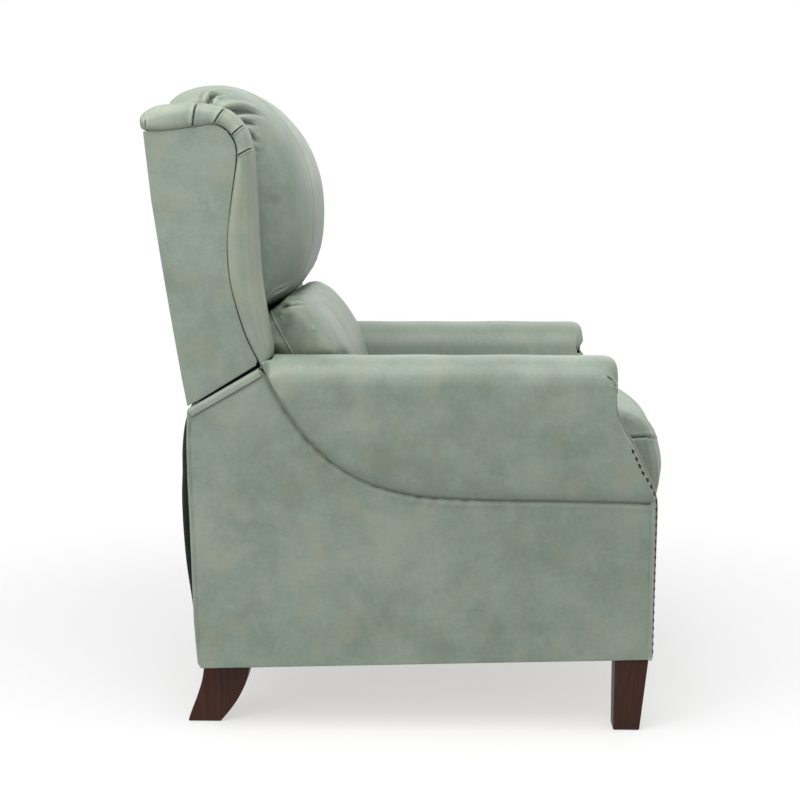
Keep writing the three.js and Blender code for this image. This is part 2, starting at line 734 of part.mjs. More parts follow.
// A pressed steel link about its first joint, lying along "ahead", with holes where given
function link(length, width, inner, outer, holeRadius, holeSpots) {
  const shape = new THREE.Shape();
  shape.absarc(0, 0, width / 2, Math.PI / 2, Math.PI * 3 / 2);
  shape.absarc(length, 0, width / 2, -Math.PI / 2, Math.PI / 2);
  const outline = shape.getPoints(6).map(({ x, y }) => [x, y]);
  return sidePlate(outline, inner, outer,
    holeSpots.map((ahead) => ({ ahead, up: 0, radius: holeRadius })));
}

// A rivet through one link, from inside a plate to a head past the link
const headTimes = 1.7;           // a rivet head's radius, in radii of its shank

function rivet(spot, radius, inner, outer) {
  const headRadius = radius * headTimes;
  const headThickness = 2;
  return [rod(spot.ahead, spot.up, radius, inner, outer + gap + headThickness),
    rod(spot.ahead, spot.up, headRadius, outer + gap, outer + gap + headThickness)];
}

function makeSeat() {
  const edge = 13;
  const plateFront = legPivot.ahead + edge;
  const sideSheet = sidePlate([
    [seatRearPin.ahead - edge, seatRearPin.up - edge],
    [seatRearPin.ahead + edge, seatRearPin.up - edge],
    [seatRails[1].rear, plate.low],
    [seatFrontPin.ahead - edge, plate.low],
    [seatFrontPin.ahead - edge, seatFrontPin.up - edge],
    [seatFrontPin.ahead + edge, seatFrontPin.up - edge],
    [seatFrontPin.ahead + edge, plate.low],
    [plateFront, plate.low],
    [plateFront, plate.high],
    [seatRails[1].rear, plate.high],
    [seatRearPin.ahead - edge, seatRearPin.up + edge],
  ], plate.inner, plate.outer, [
    { ...seatRearPin, radius: swing.radius + turningGap },
    { ...legPivot, radius: legPivot.radius + turningGap },
  ]);
  addPair('seat', 'seat_plate', join(sideSheet,
    ...rivet(seatFrontPin, swing.radius, plate.outer - sheetSteel / 2, linkOuter)), steel);

  const railHalf = plate.inner - gap;
  for (const { name, rear, front } of seatRails) {
    add('seat', name, box(rear, front, plate.low, plate.high, -railHalf, railHalf), frameWood);
  }

  const spring = { count: 4, pitch: 98, amplitude: 22, wire: 4, waves: 11 };
  const springLow = plate.high + gap;
  for (let k = 0; k < spring.count; k += 1) {
    const middle = spring.pitch * (k - (spring.count - 1) / 2);
    const rear = seatRails[1].rear + spring.wire;
    const front = seatRails[0].front - spring.wire;
    const zigzag = [];
    for (let turn = 0; turn <= spring.waves; turn += 1) {
      const side = turn % 2 ? 1 : -1;
      const ahead = between(rear, front, turn / spring.waves);
      zigzag.push(new THREE.Vector3(middle + side * spring.amplitude, -ahead, 0));
    }
    add('seat', `seat_spring_${k + 1}`, flatRibbon(zigzag, spring.wire)
      .translate(0, 0, springLow), springSteel);
  }
  makeSeatCushion(springLow + spring.wire + gap);
}

// A bent wire lying flat, as a band of square section round its corner points
function flatRibbon(corners, wire) {
  const reachShares = { end: 0.5, bend: 0.9 };
  const sides = [-1, 1].map((side) => corners.map((corner, k) => {
    const before = corners[Math.max(k - 1, 0)];
    const after = corners[Math.min(k + 1, corners.length - 1)];
    const along = after.clone().sub(before).normalize();
    const atEnd = k === 0 || k === corners.length - 1;
    const reach = wire * (atEnd ? reachShares.end : reachShares.bend);
    return new THREE.Vector2(corner.x - along.y * side * reach, corner.y + along.x * side * reach);
  }));
  return new THREE.ExtrudeGeometry(new THREE.Shape([...sides[0], ...sides[1].reverse()]),
    { depth: wire, bevelEnabled: false });
}

function makeSeatCushion(low) {
  const cushionBox = { rear: lumbarFront - 134, front: seatNose, low, high: seatCrown };
  const core = { ahead: between(cushionBox.rear, seatNose, 0.5), up: between(low, seatCrown, 0.5) };
  // Round the middle section from the rear foot: [share ahead, share up, firmness of its place]
  const shares = [[0.01, 0.03], [0.04, 0], [0.93, 0], [0.975, 0.03], [0.995, 0.15], [1, 0.36],
    [0.998, 0.58], [0.985, 0.745], [0.945, 0.86], [0.86, 0.94], [0.68, 0.99], [0.5, 0.985],
    [0.34, 0.925], [0.22, 0.84], [0.1, 0.79], [0.02, 0.72], [0, 0.5], [0, 0.2]];
  const outline = place(cushionBox, shares).map(([ahead, up], k) =>
    [ahead, up, shares[k][1] === 0 ? 1 : 0]);
  add('seat', 'seat_cushion', pillow(outline, armInner - ease.seat, core,
    { side: 0.035, end: 0.03 }), leather);
}

// The links that carry the front of the seat, drawn about their upper pivots
function makeSwingLinks() {
  addTurnedPair('swing_links', 'swing_link',
    link(swing.length, swing.width, linkInner, linkOuter, swing.radius + turningGap,
      [0, swing.length]), steel, swingPivot, swing.startLean - 90);
}

// Steel fixed to the side boards: the channel that the swing links hang on, and the back's pivot
function makeFixings() {
  const channel = {
    rear: swingPivot.ahead - 190,
    front: swingPivot.ahead + 40,
    low: swingPivot.up - 21,
    high: swingPivot.up + 21,
    inner: upperOuter + gap,
    outer: frameInner - gap,
  };
  const solid = box(channel.rear, channel.front, channel.low, channel.high,
    channel.inner, channel.outer);
  const hollow = box(channel.rear - overrun, channel.front + overrun,
    channel.low + sheetSteel, channel.high + overrun,
    channel.inner + sheetSteel, channel.outer - sheetSteel);
  const pinEnd = channel.inner + sheetSteel / 2;
  addPair('base', 'mechanism_rail', join(cut(solid, hollow),
    rod(swingPivot.ahead, swingPivot.up, swing.radius, linkInner - gap / 2, pinEnd),
    rod(swingPivot.ahead, swingPivot.up, swing.radius * headTimes, linkOuter + gap, pinEnd)), steel);

  const bracket = { half: 26, low: pivot.up - 38, high: pivot.up + 38, thickness: 5 };
  const plateOuter = frameInner - gap;
  const plateInner = plateOuter - bracket.thickness;
  const pivotEnd = plateInner + bracket.thickness / 2;
  const sheet = box(pivot.ahead - bracket.half, pivot.ahead + bracket.half,
    bracket.low, bracket.high, plateInner, plateOuter);
  addPair('base', 'back_pivot_bracket', join(sheet,
    rod(pivot.ahead, pivot.up, pivot.radius, hingeArm.inner, pivotEnd),
    rod(pivot.ahead, pivot.up, pivot.radius * headTimes, hingeArm.outer + gap, pivotEnd)), steel);
}

// Leg rest: a two-link arm on each side lifts the padded board clear of the seat cushion.
const lower = { length: 160, angle: 209.3, width: 24 };
const upper = { length: 165, angle: 10, width: 24, radius: 5 };
const boardPlace = { behindNose: 75, aboveSides: 12, abovePlate: 2, insideArms: 36 };
const padRim = { below: 4, above: 2, ease: 7 };
const board = {
  rear: seatNose - boardPlace.behindNose,
  thickness: frameBoard,
  low: sideBottomFront + boardPlace.aboveSides,
  high: plate.high + boardPlace.abovePlate,
  halfWidth: armInner - boardPlace.insideArms,
};
const pad = {
  thickness: 32,
  halfWidth: armInner - padRim.ease,
  low: board.low - padRim.below,
  high: board.high + padRim.above,
};

const knee = {
  ahead: legPivot.ahead + lower.length * Math.cos(lower.angle * degrees),
  up: legPivot.up + lower.length * Math.sin(lower.angle * degrees),
};
const boardPin = {
  ahead: knee.ahead + upper.length * Math.cos(upper.angle * degrees),
  up: knee.up + upper.length * Math.sin(upper.angle * degrees),
};

function makeLegRest() {
  const hole = upper.radius + turningGap;
  // Each lower link holds a stub that turns in the seat plate, and the rivet for the knee.
  const stub = rod(0, 0, legPivot.radius, plate.inner - overrun, linkInner + linkPlate / 2);
  const kneeSpot = { ahead: lower.length, up: 0 };
  const lowerLink = join(link(lower.length, lower.width, linkInner, linkOuter, hole, []), stub,
    ...rivet(kneeSpot, upper.radius, linkOuter - linkPlate / 2, upperOuter));
  addTurnedPair('lower_leg_links', 'lower_leg_link', lowerLink, steel, legPivot, lower.angle);
  const tubeRadius = 10;
  const tubeEnd = plate.inner - gap;
  const tube = rod(legPivot.ahead, legPivot.up, tubeRadius, -tubeEnd, tubeEnd);
  const bore = rod(legPivot.ahead, legPivot.up, legPivot.radius + gap,
    plate.inner - overrun - gap, plate.inner + overrun);
  add('lower_leg_links', 'leg_rest_tube', cut(tube, bore, mirrored(bore)), steel);

  addTurnedPair('upper_leg_links', 'upper_leg_link',
    link(upper.length, upper.width, upperInner, upperOuter, hole, [0, upper.length]),
    steel, knee, upper.angle);

  add('leg_rest', 'leg_rest_board', box(board.rear, board.rear + board.thickness,
    board.low, board.high, -board.halfWidth, board.halfWidth), frameWood);
  const lug = { length: 40, height: 34, sheet: sheetSteel, behindPin: 10 };
  const lugRear = boardPin.ahead - lug.behindPin;
  const side = box(lugRear, board.rear - gap, boardPin.up - lug.height / 2,
    boardPin.up + lug.height / 2, linkOuter - lug.sheet, linkOuter);
  const foot = box(board.rear - gap - lug.sheet, board.rear - gap,
    boardPin.up - lug.height / 2, boardPin.up + lug.height / 2,
    board.halfWidth - lug.length, linkOuter);
  const pin = rivet(boardPin, upper.radius, linkOuter - lug.sheet / 2, upperOuter);
  addPair('leg_rest', 'leg_rest_bracket', join(side, foot, ...pin), steel);

  const padBox = { rear: board.rear + board.thickness + gap, low: pad.low, high: pad.high };
  padBox.front = padBox.rear + pad.thickness;
  const padShares = [[0, 0.01], [0.4, 0], [0.75, 0.02], [0.95, 0.12], [1, 0.35], [1, 0.65],
    [0.95, 0.88], [0.75, 0.98], [0.4, 1], [0, 0.99]];
  const outline = place(padBox, padShares).map(([ahead, up], k) =>
    [ahead, up, padShares[k][0] === 0 ? 1 : 0]);
  add('leg_rest', 'leg_rest_pad', pillow(outline, pad.halfWidth,
    { ahead: padBox.rear, up: (pad.low + pad.high) / 2 }, { side: 0.03, end: 0.05 }), leather);
}

makeBaseSides();
addPair('base', 'arm', makeArm(), leather);
makeLegs();
makeCrossRails();
makeCurtains();
makeBackFrame();
makeHingeArms();
makeWings();
makePillows();
makeSeat();
makeSwingLinks();
makeFixings();
makeLegRest();

// The origin is on the floor, in the middle of the chair's footprint box.
const reach = new THREE.Box3().setFromObject(chair);
chair.position.y = -(reach.min.y + reach.max.y) / 2;

export default chair;
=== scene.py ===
# %% [markdown]
# # A wingback recliner, dressed round its measured frame
# The frame holds every board, link and cushion block at its real size and place. This lesson puts
# the upholstery over it: leather panels, padded rolls, pillows, nails, stitching and black cloth.
# The chair faces -Y, the sitter's right is on the -X side, and +Z is up.

# %% Load the frame
import json
import math

import bpy
import numpy as np
from mathutils import Matrix, Vector, bvhtree, kdtree


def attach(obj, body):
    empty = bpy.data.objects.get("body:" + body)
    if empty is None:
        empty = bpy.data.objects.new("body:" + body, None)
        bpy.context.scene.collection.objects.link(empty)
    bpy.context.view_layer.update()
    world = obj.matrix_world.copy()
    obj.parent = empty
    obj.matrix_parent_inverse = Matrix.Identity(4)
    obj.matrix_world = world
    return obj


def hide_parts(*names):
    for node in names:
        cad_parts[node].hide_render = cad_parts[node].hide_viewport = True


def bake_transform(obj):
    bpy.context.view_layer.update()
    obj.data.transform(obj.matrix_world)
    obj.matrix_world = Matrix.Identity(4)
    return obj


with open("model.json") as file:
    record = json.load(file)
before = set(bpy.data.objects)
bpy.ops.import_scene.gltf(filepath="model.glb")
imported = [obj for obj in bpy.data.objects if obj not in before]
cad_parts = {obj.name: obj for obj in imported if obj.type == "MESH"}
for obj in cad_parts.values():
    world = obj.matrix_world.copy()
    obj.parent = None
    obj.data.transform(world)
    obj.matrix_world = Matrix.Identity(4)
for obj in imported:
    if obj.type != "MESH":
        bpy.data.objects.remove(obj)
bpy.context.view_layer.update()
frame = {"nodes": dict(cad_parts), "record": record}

# %% [markdown]
# The shapes below are written the way an upholsterer measures a chair from its side: how far out
# from the middle, how far ahead of a line near the middle, and how far up from the floor, all in
# millimetres. One function turns them into metres in the chair's own frame.

# %% Measuring
MM = 0.001
MEASURING_LINE = 31.0            # how far the line that "ahead" starts from lies behind the middle


def placed(out, ahead, up):
    """Points in metres, from millimetres out to the sitter's right, ahead and up."""
    out, ahead, up = np.broadcast_arrays(out, ahead, up)
    return np.stack([-out * MM, (MEASURING_LINE - ahead) * MM, up * MM], axis=-1)


def between(start, end, share):
    return start + (end - start) * share


def eased(value, low, high):
    """0 below low, 1 above high, and a soft step from one to the other."""
    share = np.clip((value - low) / (high - low), 0, 1)
    return share * share * (3 - 2 * share)


def resampled(net, count, axis=0):
    """A net of points with count points along one axis, on smooth curves through the old ones."""
    net = np.moveaxis(np.asarray(net, float), axis, 0)
    at = np.linspace(0, len(net) - 1, count)
    low = np.minimum(at.astype(int), len(net) - 2)
    t = (at - low).reshape(-1, *[1] * (net.ndim - 1))
    slope = np.gradient(net, axis=0)
    smooth = ((2 * t**3 - 3 * t**2 + 1) * net[low] + (t**3 - 2 * t**2 + t) * slope[low]
              + (3 * t**2 - 2 * t**3) * net[low + 1] + (t**3 - t**2) * slope[low + 1])
    return np.moveaxis(smooth, 0, axis)


def travelled(line):
    """How long the line is up to each of its points."""
    return np.r_[0, np.cumsum(np.linalg.norm(np.diff(line, axis=0), axis=1))]


def on_line(points, share):
    """The place at each share of the length of a line through the points, corners kept."""
    points = np.asarray(points, float)
    steps = travelled(points)
    share = np.asarray(share) * steps[-1]
    return np.stack([np.interp(share, steps, column) for column in points.T], axis=-1)


def uneven(points, wave, seed):
    """A soft random height from -1 to 1 at each point, with hollows about wave metres apart."""
    draw = np.random.default_rng(seed)
    height = np.zeros(len(points))
    for _ in range(7):
        direction = draw.normal(size=3)
        direction *= 2 * np.pi / wave * draw.uniform(0.6, 1.4) / np.linalg.norm(direction)
        height += np.sin(points @ direction + draw.uniform(0, 2 * np.pi))
    return height / 4


# %% [markdown]
# Blender's operators act on whatever is selected, so a few helpers keep the selection clean, read
# and write the places of a mesh's points, and run an operator on all of a piece in edit mode.

# %% Working on one piece
def take(piece):
    bpy.ops.object.select_all(action="DESELECT")
    piece.select_set(True)
    bpy.context.view_layer.objects.active = piece
    return piece


def points_of(piece):
    points = np.zeros(len(piece.data.vertices) * 3)
    piece.data.vertices.foreach_get("co", points)
    return points.reshape(-1, 3)


def normals_of(piece):
    normals = np.zeros(len(piece.data.vertices) * 3)
    piece.data.vertices.foreach_get("normal", normals)
    return normals.reshape(-1, 3)


def move_points(piece, points):
    piece.data.vertices.foreach_set("co", np.asarray(points, float).ravel())
    piece.data.update()


def in_edit_mode(piece, *steps):
    take(piece)
    bpy.ops.object.mode_set(mode="EDIT")
    bpy.ops.mesh.select_mode(type="VERT")
    bpy.ops.mesh.select_all(action="SELECT")
    for step in steps:
        step()
    bpy.ops.object.mode_set(mode="OBJECT")
    return piece


def merge_and_face_out(piece, distance=0.00002):
    return in_edit_mode(
        piece,
        lambda: bpy.ops.mesh.remove_doubles(threshold=distance),
        lambda: bpy.ops.mesh.normals_make_consistent(inside=False),
    )


def finish_with(piece, kind, **settings):
    """Adds a modifier, sets it and applies it."""
    take(piece)
    bpy.ops.object.modifier_add(type=kind)
    modifier = piece.modifiers[-1]
    for key, value in settings.items():
        setattr(modifier, key, value)
    bpy.ops.object.modifier_apply(modifier=modifier.name)
    return piece


def thickened(piece, thickness, offset=-1):
    return finish_with(piece, "SOLIDIFY", thickness=thickness, offset=offset)


def bevelled(piece, width, segments=4, angle=50):
    return finish_with(piece, "BEVEL", width=width, segments=segments, limit_method="ANGLE",
                       angle_limit=math.radians(angle))


def smooth_shaded(piece, angle=40):
    take(piece)
    bpy.ops.object.shade_smooth_by_angle(angle=math.radians(angle))
    return piece


def laid_grid(name, net, merge=0.00002):
    """A flat grid with a point for each point of the net, moved onto the net and closed there."""
    bpy.ops.object.select_all(action="DESELECT")
    rows, columns = net.shape[:2]
    bpy.ops.mesh.primitive_grid_add(x_subdivisions=rows - 1, y_subdivisions=columns - 1, size=2)
    piece = bpy.context.object
    piece.name = piece.data.name = name
    flat = points_of(piece)
    row = np.rint((flat[:, 0] + 1) / 2 * (rows - 1)).astype(int)
    column = np.rint((flat[:, 1] + 1) / 2 * (columns - 1)).astype(int)
    move_points(piece, net[row, column])
    return merge_and_face_out(piece, merge)


def patch(bottom, top, rear, front, rows, columns):
    """A net that fills four border lines, each given as points from rear to front or upwards."""
    u = np.linspace(0, 1, rows)[:, None, None]
    v = np.linspace(0, 1, columns)[None, :, None]
    low, high = (on_line(line, u[:, 0, 0])[:, None] for line in (bottom, top))
    left, right = (on_line(line, v[0, :, 0])[None] for line in (rear, front))
    corners = ((1 - u) * (1 - v) * low[0, 0] + u * (1 - v) * low[-1, 0]
               + (1 - u) * v * high[0, 0] + u * v * high[-1, 0])
    return (1 - v) * low + v * high + (1 - u) * left + u * right - corners


def copied(piece, name):
    take(piece)
    bpy.ops.object.duplicate()
    copy = bpy.context.object
    copy.name = copy.data.name = name
    return copy


def mirrored(piece, name):
    """The same piece on the other side of the chair, with a mesh of its own."""
    copy = copied(piece, name)
    bpy.ops.transform.resize(value=(-1, 1, 1), center_override=(0, 0, 0))
    bpy.ops.object.transform_apply(location=True, rotation=True, scale=True)
    return in_edit_mode(copy, lambda: bpy.ops.mesh.normals_make_consistent(inside=False))


# %% [markdown]
# Creases, seams and gathers are pressed into a surface along a line: points near the line sink,
# and a lip rises beside them, as leather does where a thread pulls it down. The same search for
# the nearest point of a line serves for all of them.

# %% Pressing lines into a surface
def nearest_on(lines, points, step=0.0015):
    """For each point: distance to the nearest of the lines, and the share along that line."""
    samples, shares = [], []
    for line in lines:
        line = np.asarray(line, float)
        length = np.linalg.norm(np.diff(line, axis=0), axis=1).sum()
        share = np.linspace(0, 1, max(3, int(length / step)))
        samples.append(on_line(line, share))
        shares.append(share)
    samples, shares = np.concatenate(samples), np.concatenate(shares)
    tree = kdtree.KDTree(len(samples))
    for index, sample in enumerate(samples):
        tree.insert(sample, index)
    tree.balance()
    found = [tree.find(point) for point in points]
    return np.array([hit[2] for hit in found]), shares[[hit[1] for hit in found]]


def press(piece, lines, depth, width, lip=0.35, fade=(0.0, 0.0)):
    """Sinks a crease along each line. fade gives the share of its length over which it starts
    and ends."""
    points, normals = points_of(piece), normals_of(piece)
    reach = width * 4
    corners = np.concatenate([np.asarray(line, float) for line in lines])
    near = np.flatnonzero(np.all((points > corners.min(0) - reach)
                                 & (points < corners.max(0) + reach), axis=1))
    if not len(near):
        return piece
    distance, share = nearest_on(lines, points[near])
    strength = np.ones(len(near))
    if fade[0]:
        strength *= eased(share, 0, fade[0])
    if fade[1]:
        strength *= eased(1 - share, 0, fade[1])
    sunk = np.exp(-(distance / width) ** 2) - lip * np.exp(-((distance / width - 1.9) / 0.9) ** 2)
    points[near] -= normals[near] * (depth * strength * sunk)[:, None]
    move_points(piece, points)
    return piece


def line_of(*stops, count=24):
    """A smooth line in metres through stops given as out, ahead and up in millimetres."""
    return resampled(placed(*np.asarray(stops, float).T), count)


def surface_of(piece):
    """The piece's faces, sorted so that the nearest one to a point is found quickly."""
    faces = [tuple(face.vertices) for face in piece.data.polygons]
    return bvhtree.BVHTree.FromPolygons([tuple(p) for p in points_of(piece)], faces)


def onto(surface, line):
    """The line, dropped onto the nearest surface."""
    return np.array([surface.find_nearest(Vector(point))[0] for point in line])


# %% [markdown]
# A welt is a cord sewn into the seam and covered in the same leather, so it is a thin tube along a
# line. A curve with a round bevel makes that, and it becomes a mesh once its shape is right.

# %% Welts and stitches
def welt(name, line, radius):
    bpy.ops.object.select_all(action="DESELECT")
    bpy.ops.curve.primitive_nurbs_path_add()
    piece = bpy.context.object
    piece.name = name
    curve = piece.data
    curve.splines.clear()
    spline = curve.splines.new("POLY")
    spline.points.add(len(line) - 1)
    spline.points.foreach_set("co", np.c_[line, np.ones(len(line))].ravel())
    curve.dimensions = "3D"
    curve.bevel_depth = radius
    curve.bevel_resolution = 2
    curve.use_fill_caps = True
    bpy.ops.object.convert(target="MESH")
    piece = bpy.context.object
    piece.data.name = name
    merge_and_face_out(piece)
    return smooth_shaded(piece, 60)


def repeated(name, pattern, frames):
    """Copies of one small mesh, one for each frame, as one piece."""
    piece = copied(pattern, name)
    one = points_of(pattern)
    finish_with(piece, "ARRAY", count=len(frames), use_relative_offset=False,
                use_constant_offset=True, constant_offset_displace=(1, 0, 0))
    frames = np.array([np.array(f) for f in frames])
    places = np.einsum("nij,kj->nki", frames[:, :3, :3], one) + frames[:, None, :3, 3]
    move_points(piece, places.reshape(-1, 3))
    return piece


def frames_along(surface, line, pitch, lift=0.0):
    """A frame at each pitch along the line on a surface: X along it, Z off it."""
    line = onto(surface, line)
    length = travelled(line)[-1]
    frames = []
    for spot in np.arange(pitch / 2, length, pitch):
        here = on_line(line, spot / length)
        ahead = on_line(line, min(1, (spot + pitch * 0.3) / length))
        behind = on_line(line, max(0, (spot - pitch * 0.3) / length))
        place, normal, *_ = surface.find_nearest(Vector(here))
        along = Vector(ahead - behind)
        along = (along - normal * along.dot(normal)).normalized()
        side = normal.cross(along)
        turn = Matrix((along, side, normal)).transposed().to_4x4()
        turn.translation = place + normal * lift
        frames.append(turn)
    return frames


STITCH_LENGTH = 0.0032
STITCH_PITCH = 0.0046
THREAD_RADIUS = 0.00045


def make_stitch():
    """One stitch: a short thread, rounded at both ends where it dives into the leather."""
    bpy.ops.object.select_all(action="DESELECT")
    bpy.ops.mesh.primitive_cylinder_add(vertices=6, radius=THREAD_RADIUS, depth=STITCH_LENGTH,
                                        rotation=(0, math.pi / 2, 0))
    stitch = bpy.context.object
    stitch.name = "stitch_pattern"
    bpy.ops.object.transform_apply(location=False, rotation=True, scale=False)
    in_edit_mode(stitch, lambda: bpy.ops.mesh.subdivide(number_cuts=1, quadcorner="INNERVERT"))
    points = points_of(stitch)
    reach = np.abs(points[:, 0]) / (STITCH_LENGTH / 2)
    points[:, 1:] *= (1 - 0.55 * reach[:, None] ** 3)
    points[:, 2] -= 0.0005 * reach**2
    move_points(stitch, points)
    return smooth_shaded(stitch)


stitch_pattern = make_stitch()
pattern_pieces = [stitch_pattern]
thread_pieces = []


def stitched(name, piece, lines, body):
    """Rows of stitches along lines on a piece, as one piece of thread."""
    surface = surface_of(piece)
    frames = [f for line in lines for f in frames_along(surface, line, STITCH_PITCH, 0.0002)]
    threads = repeated(name, stitch_pattern, frames)
    threads.data.materials.clear()
    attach(threads, body)
    thread_pieces.append(threads)
    return threads


# %% [markdown]
# ## Finishes
# The cover is a pigmented, lightly tumbled cowhide in sage green. It is drum dyed and then sprayed
# unevenly, so cloudy warm and cool patches a few centimetres across lie over a fine grain. The
# colour is painted paler over sharp edges as a painted highlight, and darker in the creases as
# painted shade.

# %% Colours and nodes
def hex_colour(code):
    """An sRGB hex colour as the linear values that Blender computes with."""
    values = [int(code[i:i + 2], 16) / 255 for i in (1, 3, 5)]
    return [v / 12.92 if v <= 0.04045 else ((v + 0.055) / 1.055) ** 2.4 for v in values] + [1.0]


def add_node(material, kind, settings=None, links=None):
    """Adds a node, sets its properties or sockets, and links other nodes' outputs to it."""
    tree = material.node_tree
    node = tree.nodes.new(kind)
    for key, value in (settings or {}).items():
        if isinstance(key, str) and hasattr(node, key):
            setattr(node, key, value)
        else:
            node.inputs[key].default_value = value
    for key, source in (links or {}).items():
        tree.links.new(source, node.inputs[key])
    return node


def new_material(name, colour, roughness, metallic=0.0):
    material = bpy.data.materials.new(name)
    material.use_nodes = True
    shader = material.node_tree.nodes["Principled BSDF"]
    shader.inputs["Base Color"].default_value = hex_colour(colour)
    shader.inputs["Roughness"].default_value = roughness
    shader.inputs["Metallic"].default_value = metallic
    material.diffuse_color = hex_colour(colour)
    return material, shader


def wire(material, source, target):
    material.node_tree.links.new(source, target)


def object_place(material):
    return add_node(material, "ShaderNodeTexCoord").outputs["Object"]


def noise(material, where, scale, detail, **settings):
    return add_node(material, "ShaderNodeTexNoise", {"Scale": scale, "Detail": detail, **settings},
                    {"Vector": where}).outputs["Fac"]


def ranged(material, value, low, high, start=0.0, end=1.0):
    """The value from low to high, spread from start to end."""
    return add_node(material, "ShaderNodeMapRange", {"From Min": low, "From Max": high,
                    "To Min": start, "To Max": end}, {"Value": value}).outputs["Result"]


def added(material, value, share, to):
    """The value times a share, added to another."""
    return add_node(material, "ShaderNodeMath", {"operation": "MULTIPLY_ADD", 1: share},
                    {0: value, 2: to}).outputs["Value"]


def blended(material, kind, share, first, second):
    """Two colours, multiplied or mixed; the share and the second can be a value or an output."""
    node = add_node(material, "ShaderNodeMix", {"data_type": "RGBA", "blend_type": kind})
    for socket, given in ((0, share), (6, first), (7, second)):
        if isinstance(given, bpy.types.NodeSocket):
            wire(material, given, node.inputs[socket])
        else:
            node.inputs[socket].default_value = given
    return node.outputs[2]


def raised(material, shader, height, strength, depth):
    """Lets a height roughen the surface."""
    bump = add_node(material, "ShaderNodeBump", {"Strength": strength, "Distance": depth},
                    {"Height": height})
    wire(material, bump.outputs["Normal"], shader.inputs["Normal"])


def colour_ramp(material, factor, stops):
    ramp = add_node(material, "ShaderNodeValToRGB", links={"Fac": factor})
    elements = ramp.color_ramp.elements
    while len(elements) < len(stops):
        elements.new(0.5)
    for element, (place, code) in zip(elements, stops):
        element.position = place
        element.color = hex_colour(code)
    return ramp.outputs["Color"]


# %% [markdown]
# Leather grain is a net of tiny rounded cells, so a cell pattern drives the bump, with cells drawn
# 2.4 mm wide, a little coarser than on the hide so that they show. Three sizes of cloudy noise
# vary the colour. The fold attribute that each leather piece carries tells where its surface is
# hollow or sharp: hollows get painted shade and sharp edges a painted highlight.

# %% Sage leather
PATCH = 1 / 0.11                 # large clouds, per metre
CLOUD = 1 / 0.034                # small clouds, per metre
SPECK = 1 / 0.006                # specks and short scuffs, per metre
GRAIN = 1 / 0.0024               # grain cells, per metre


def sage_leather(name, dark, middle, light, roughness=0.46, grain=0.15):
    material, shader = new_material(name, middle, roughness)
    shader.inputs["Specular IOR Level"].default_value = 0.32
    where = object_place(material)
    patches = noise(material, where, PATCH, 3.0, Roughness=0.55)
    clouds = noise(material, where, CLOUD, 4.0, Roughness=0.6)
    specks = noise(material, where, SPECK, 3.0, Roughness=0.7)
    mottle = added(material, specks, 0.45, added(material, clouds, 0.55, patches))
    tone = colour_ramp(material, ranged(material, mottle, 0.76, 1.24),
                       [(0.0, dark), (0.5, middle), (1.0, light)])
    warm_share = ranged(material, noise(material, where, PATCH * 1.7, 2.0), 0.5, 0.72, end=0.3)
    warm = blended(material, "MIX", warm_share, tone, hex_colour("#94937c"))
    fold = add_node(material, "ShaderNodeAttribute", {"attribute_name": "fold"}).outputs["Fac"]
    # Painted shade: the colour is multiplied darker where the surface is hollow, down in the
    # creases.
    shade = colour_ramp(material, fold, [(0.0, "#8f938c"), (0.42, "#ffffff"), (1.0, "#ffffff")])
    shaded = blended(material, "MULTIPLY", 1.0, warm, shade)
    # Painted highlight: the colour is mixed paler where the surface is sharp, over edges.
    edge_highlight_share = ranged(material, fold, 0.62, 1.0, end=0.45)
    edge_highlighted = blended(material, "MIX", edge_highlight_share, shaded, hex_colour("#a7ac9a"))
    wire(material, edge_highlighted, shader.inputs["Base Color"])
    cells = add_node(material, "ShaderNodeTexVoronoi",
                     {"feature": "SMOOTH_F1", "Scale": GRAIN, "Smoothness": 0.6},
                     {"Vector": where}).outputs["Distance"]
    raised(material, shader, added(material, cells, 0.5, noise(material, where, GRAIN / 7, 3.0)),
           grain, 0.0012)
    wire(material, ranged(material, clouds, 0.35, 0.7, roughness - 0.05, roughness + 0.07),
         shader.inputs["Roughness"])
    return material


leather = sage_leather("sage cowhide, tumbled", "#7a8779", "#869386", "#929d8f")
thread, _ = new_material("polyester thread, sage", "#a3aa98", 0.6)


# %% [markdown]
# The legs are a hardwood stained espresso and sprayed with satin lacquer, with the grain running
# down the leg. The hidden boards are bare plywood and pine. The steel is a grey stove enamel, and
# the nails are steel plated in antique bronze, dark in the hollow and rubbed on top.

# %% Wood
def wood(name, dark, middle, light, roughness, grain_width, axis=2):
    material, shader = new_material(name, middle, roughness)
    stretch = [1.0, 1.0, 1.0]
    stretch[axis] = 0.06
    mapping = add_node(material, "ShaderNodeMapping", {"Scale": stretch},
                       {"Vector": object_place(material)})
    grain = noise(material, mapping.outputs["Vector"], 1 / grain_width, 6.0, Roughness=0.62,
                  Distortion=0.6)
    colour = colour_ramp(material, grain, [(0.3, dark), (0.52, middle), (0.72, light)])
    wire(material, colour, shader.inputs["Base Color"])
    raised(material, shader, grain, 0.12, 0.0006)
    return material


espresso = wood("hardwood, espresso stain and satin lacquer", "#2a150d", "#3a1f14", "#47281b",
                0.46, 0.006)
espresso.node_tree.nodes["Principled BSDF"].inputs["Specular IOR Level"].default_value = 0.22
pine = wood("pine board, planed", "#a98a5c", "#bd9f70", "#cdb388", 0.7, 0.009, axis=0)


# %% Metals and cloth
def metal(name, dark, light, roughness, speck, metallic=1.0):
    material, shader = new_material(name, light, roughness, metallic)
    blotch = noise(material, object_place(material), 1 / speck, 4.0)
    wire(material, colour_ramp(material, blotch, [(0.35, dark), (0.65, light)]),
         shader.inputs["Base Color"])
    wire(material, ranged(material, blotch, 0.0, 1.0, roughness - 0.08, roughness + 0.1),
         shader.inputs["Roughness"])
    return material


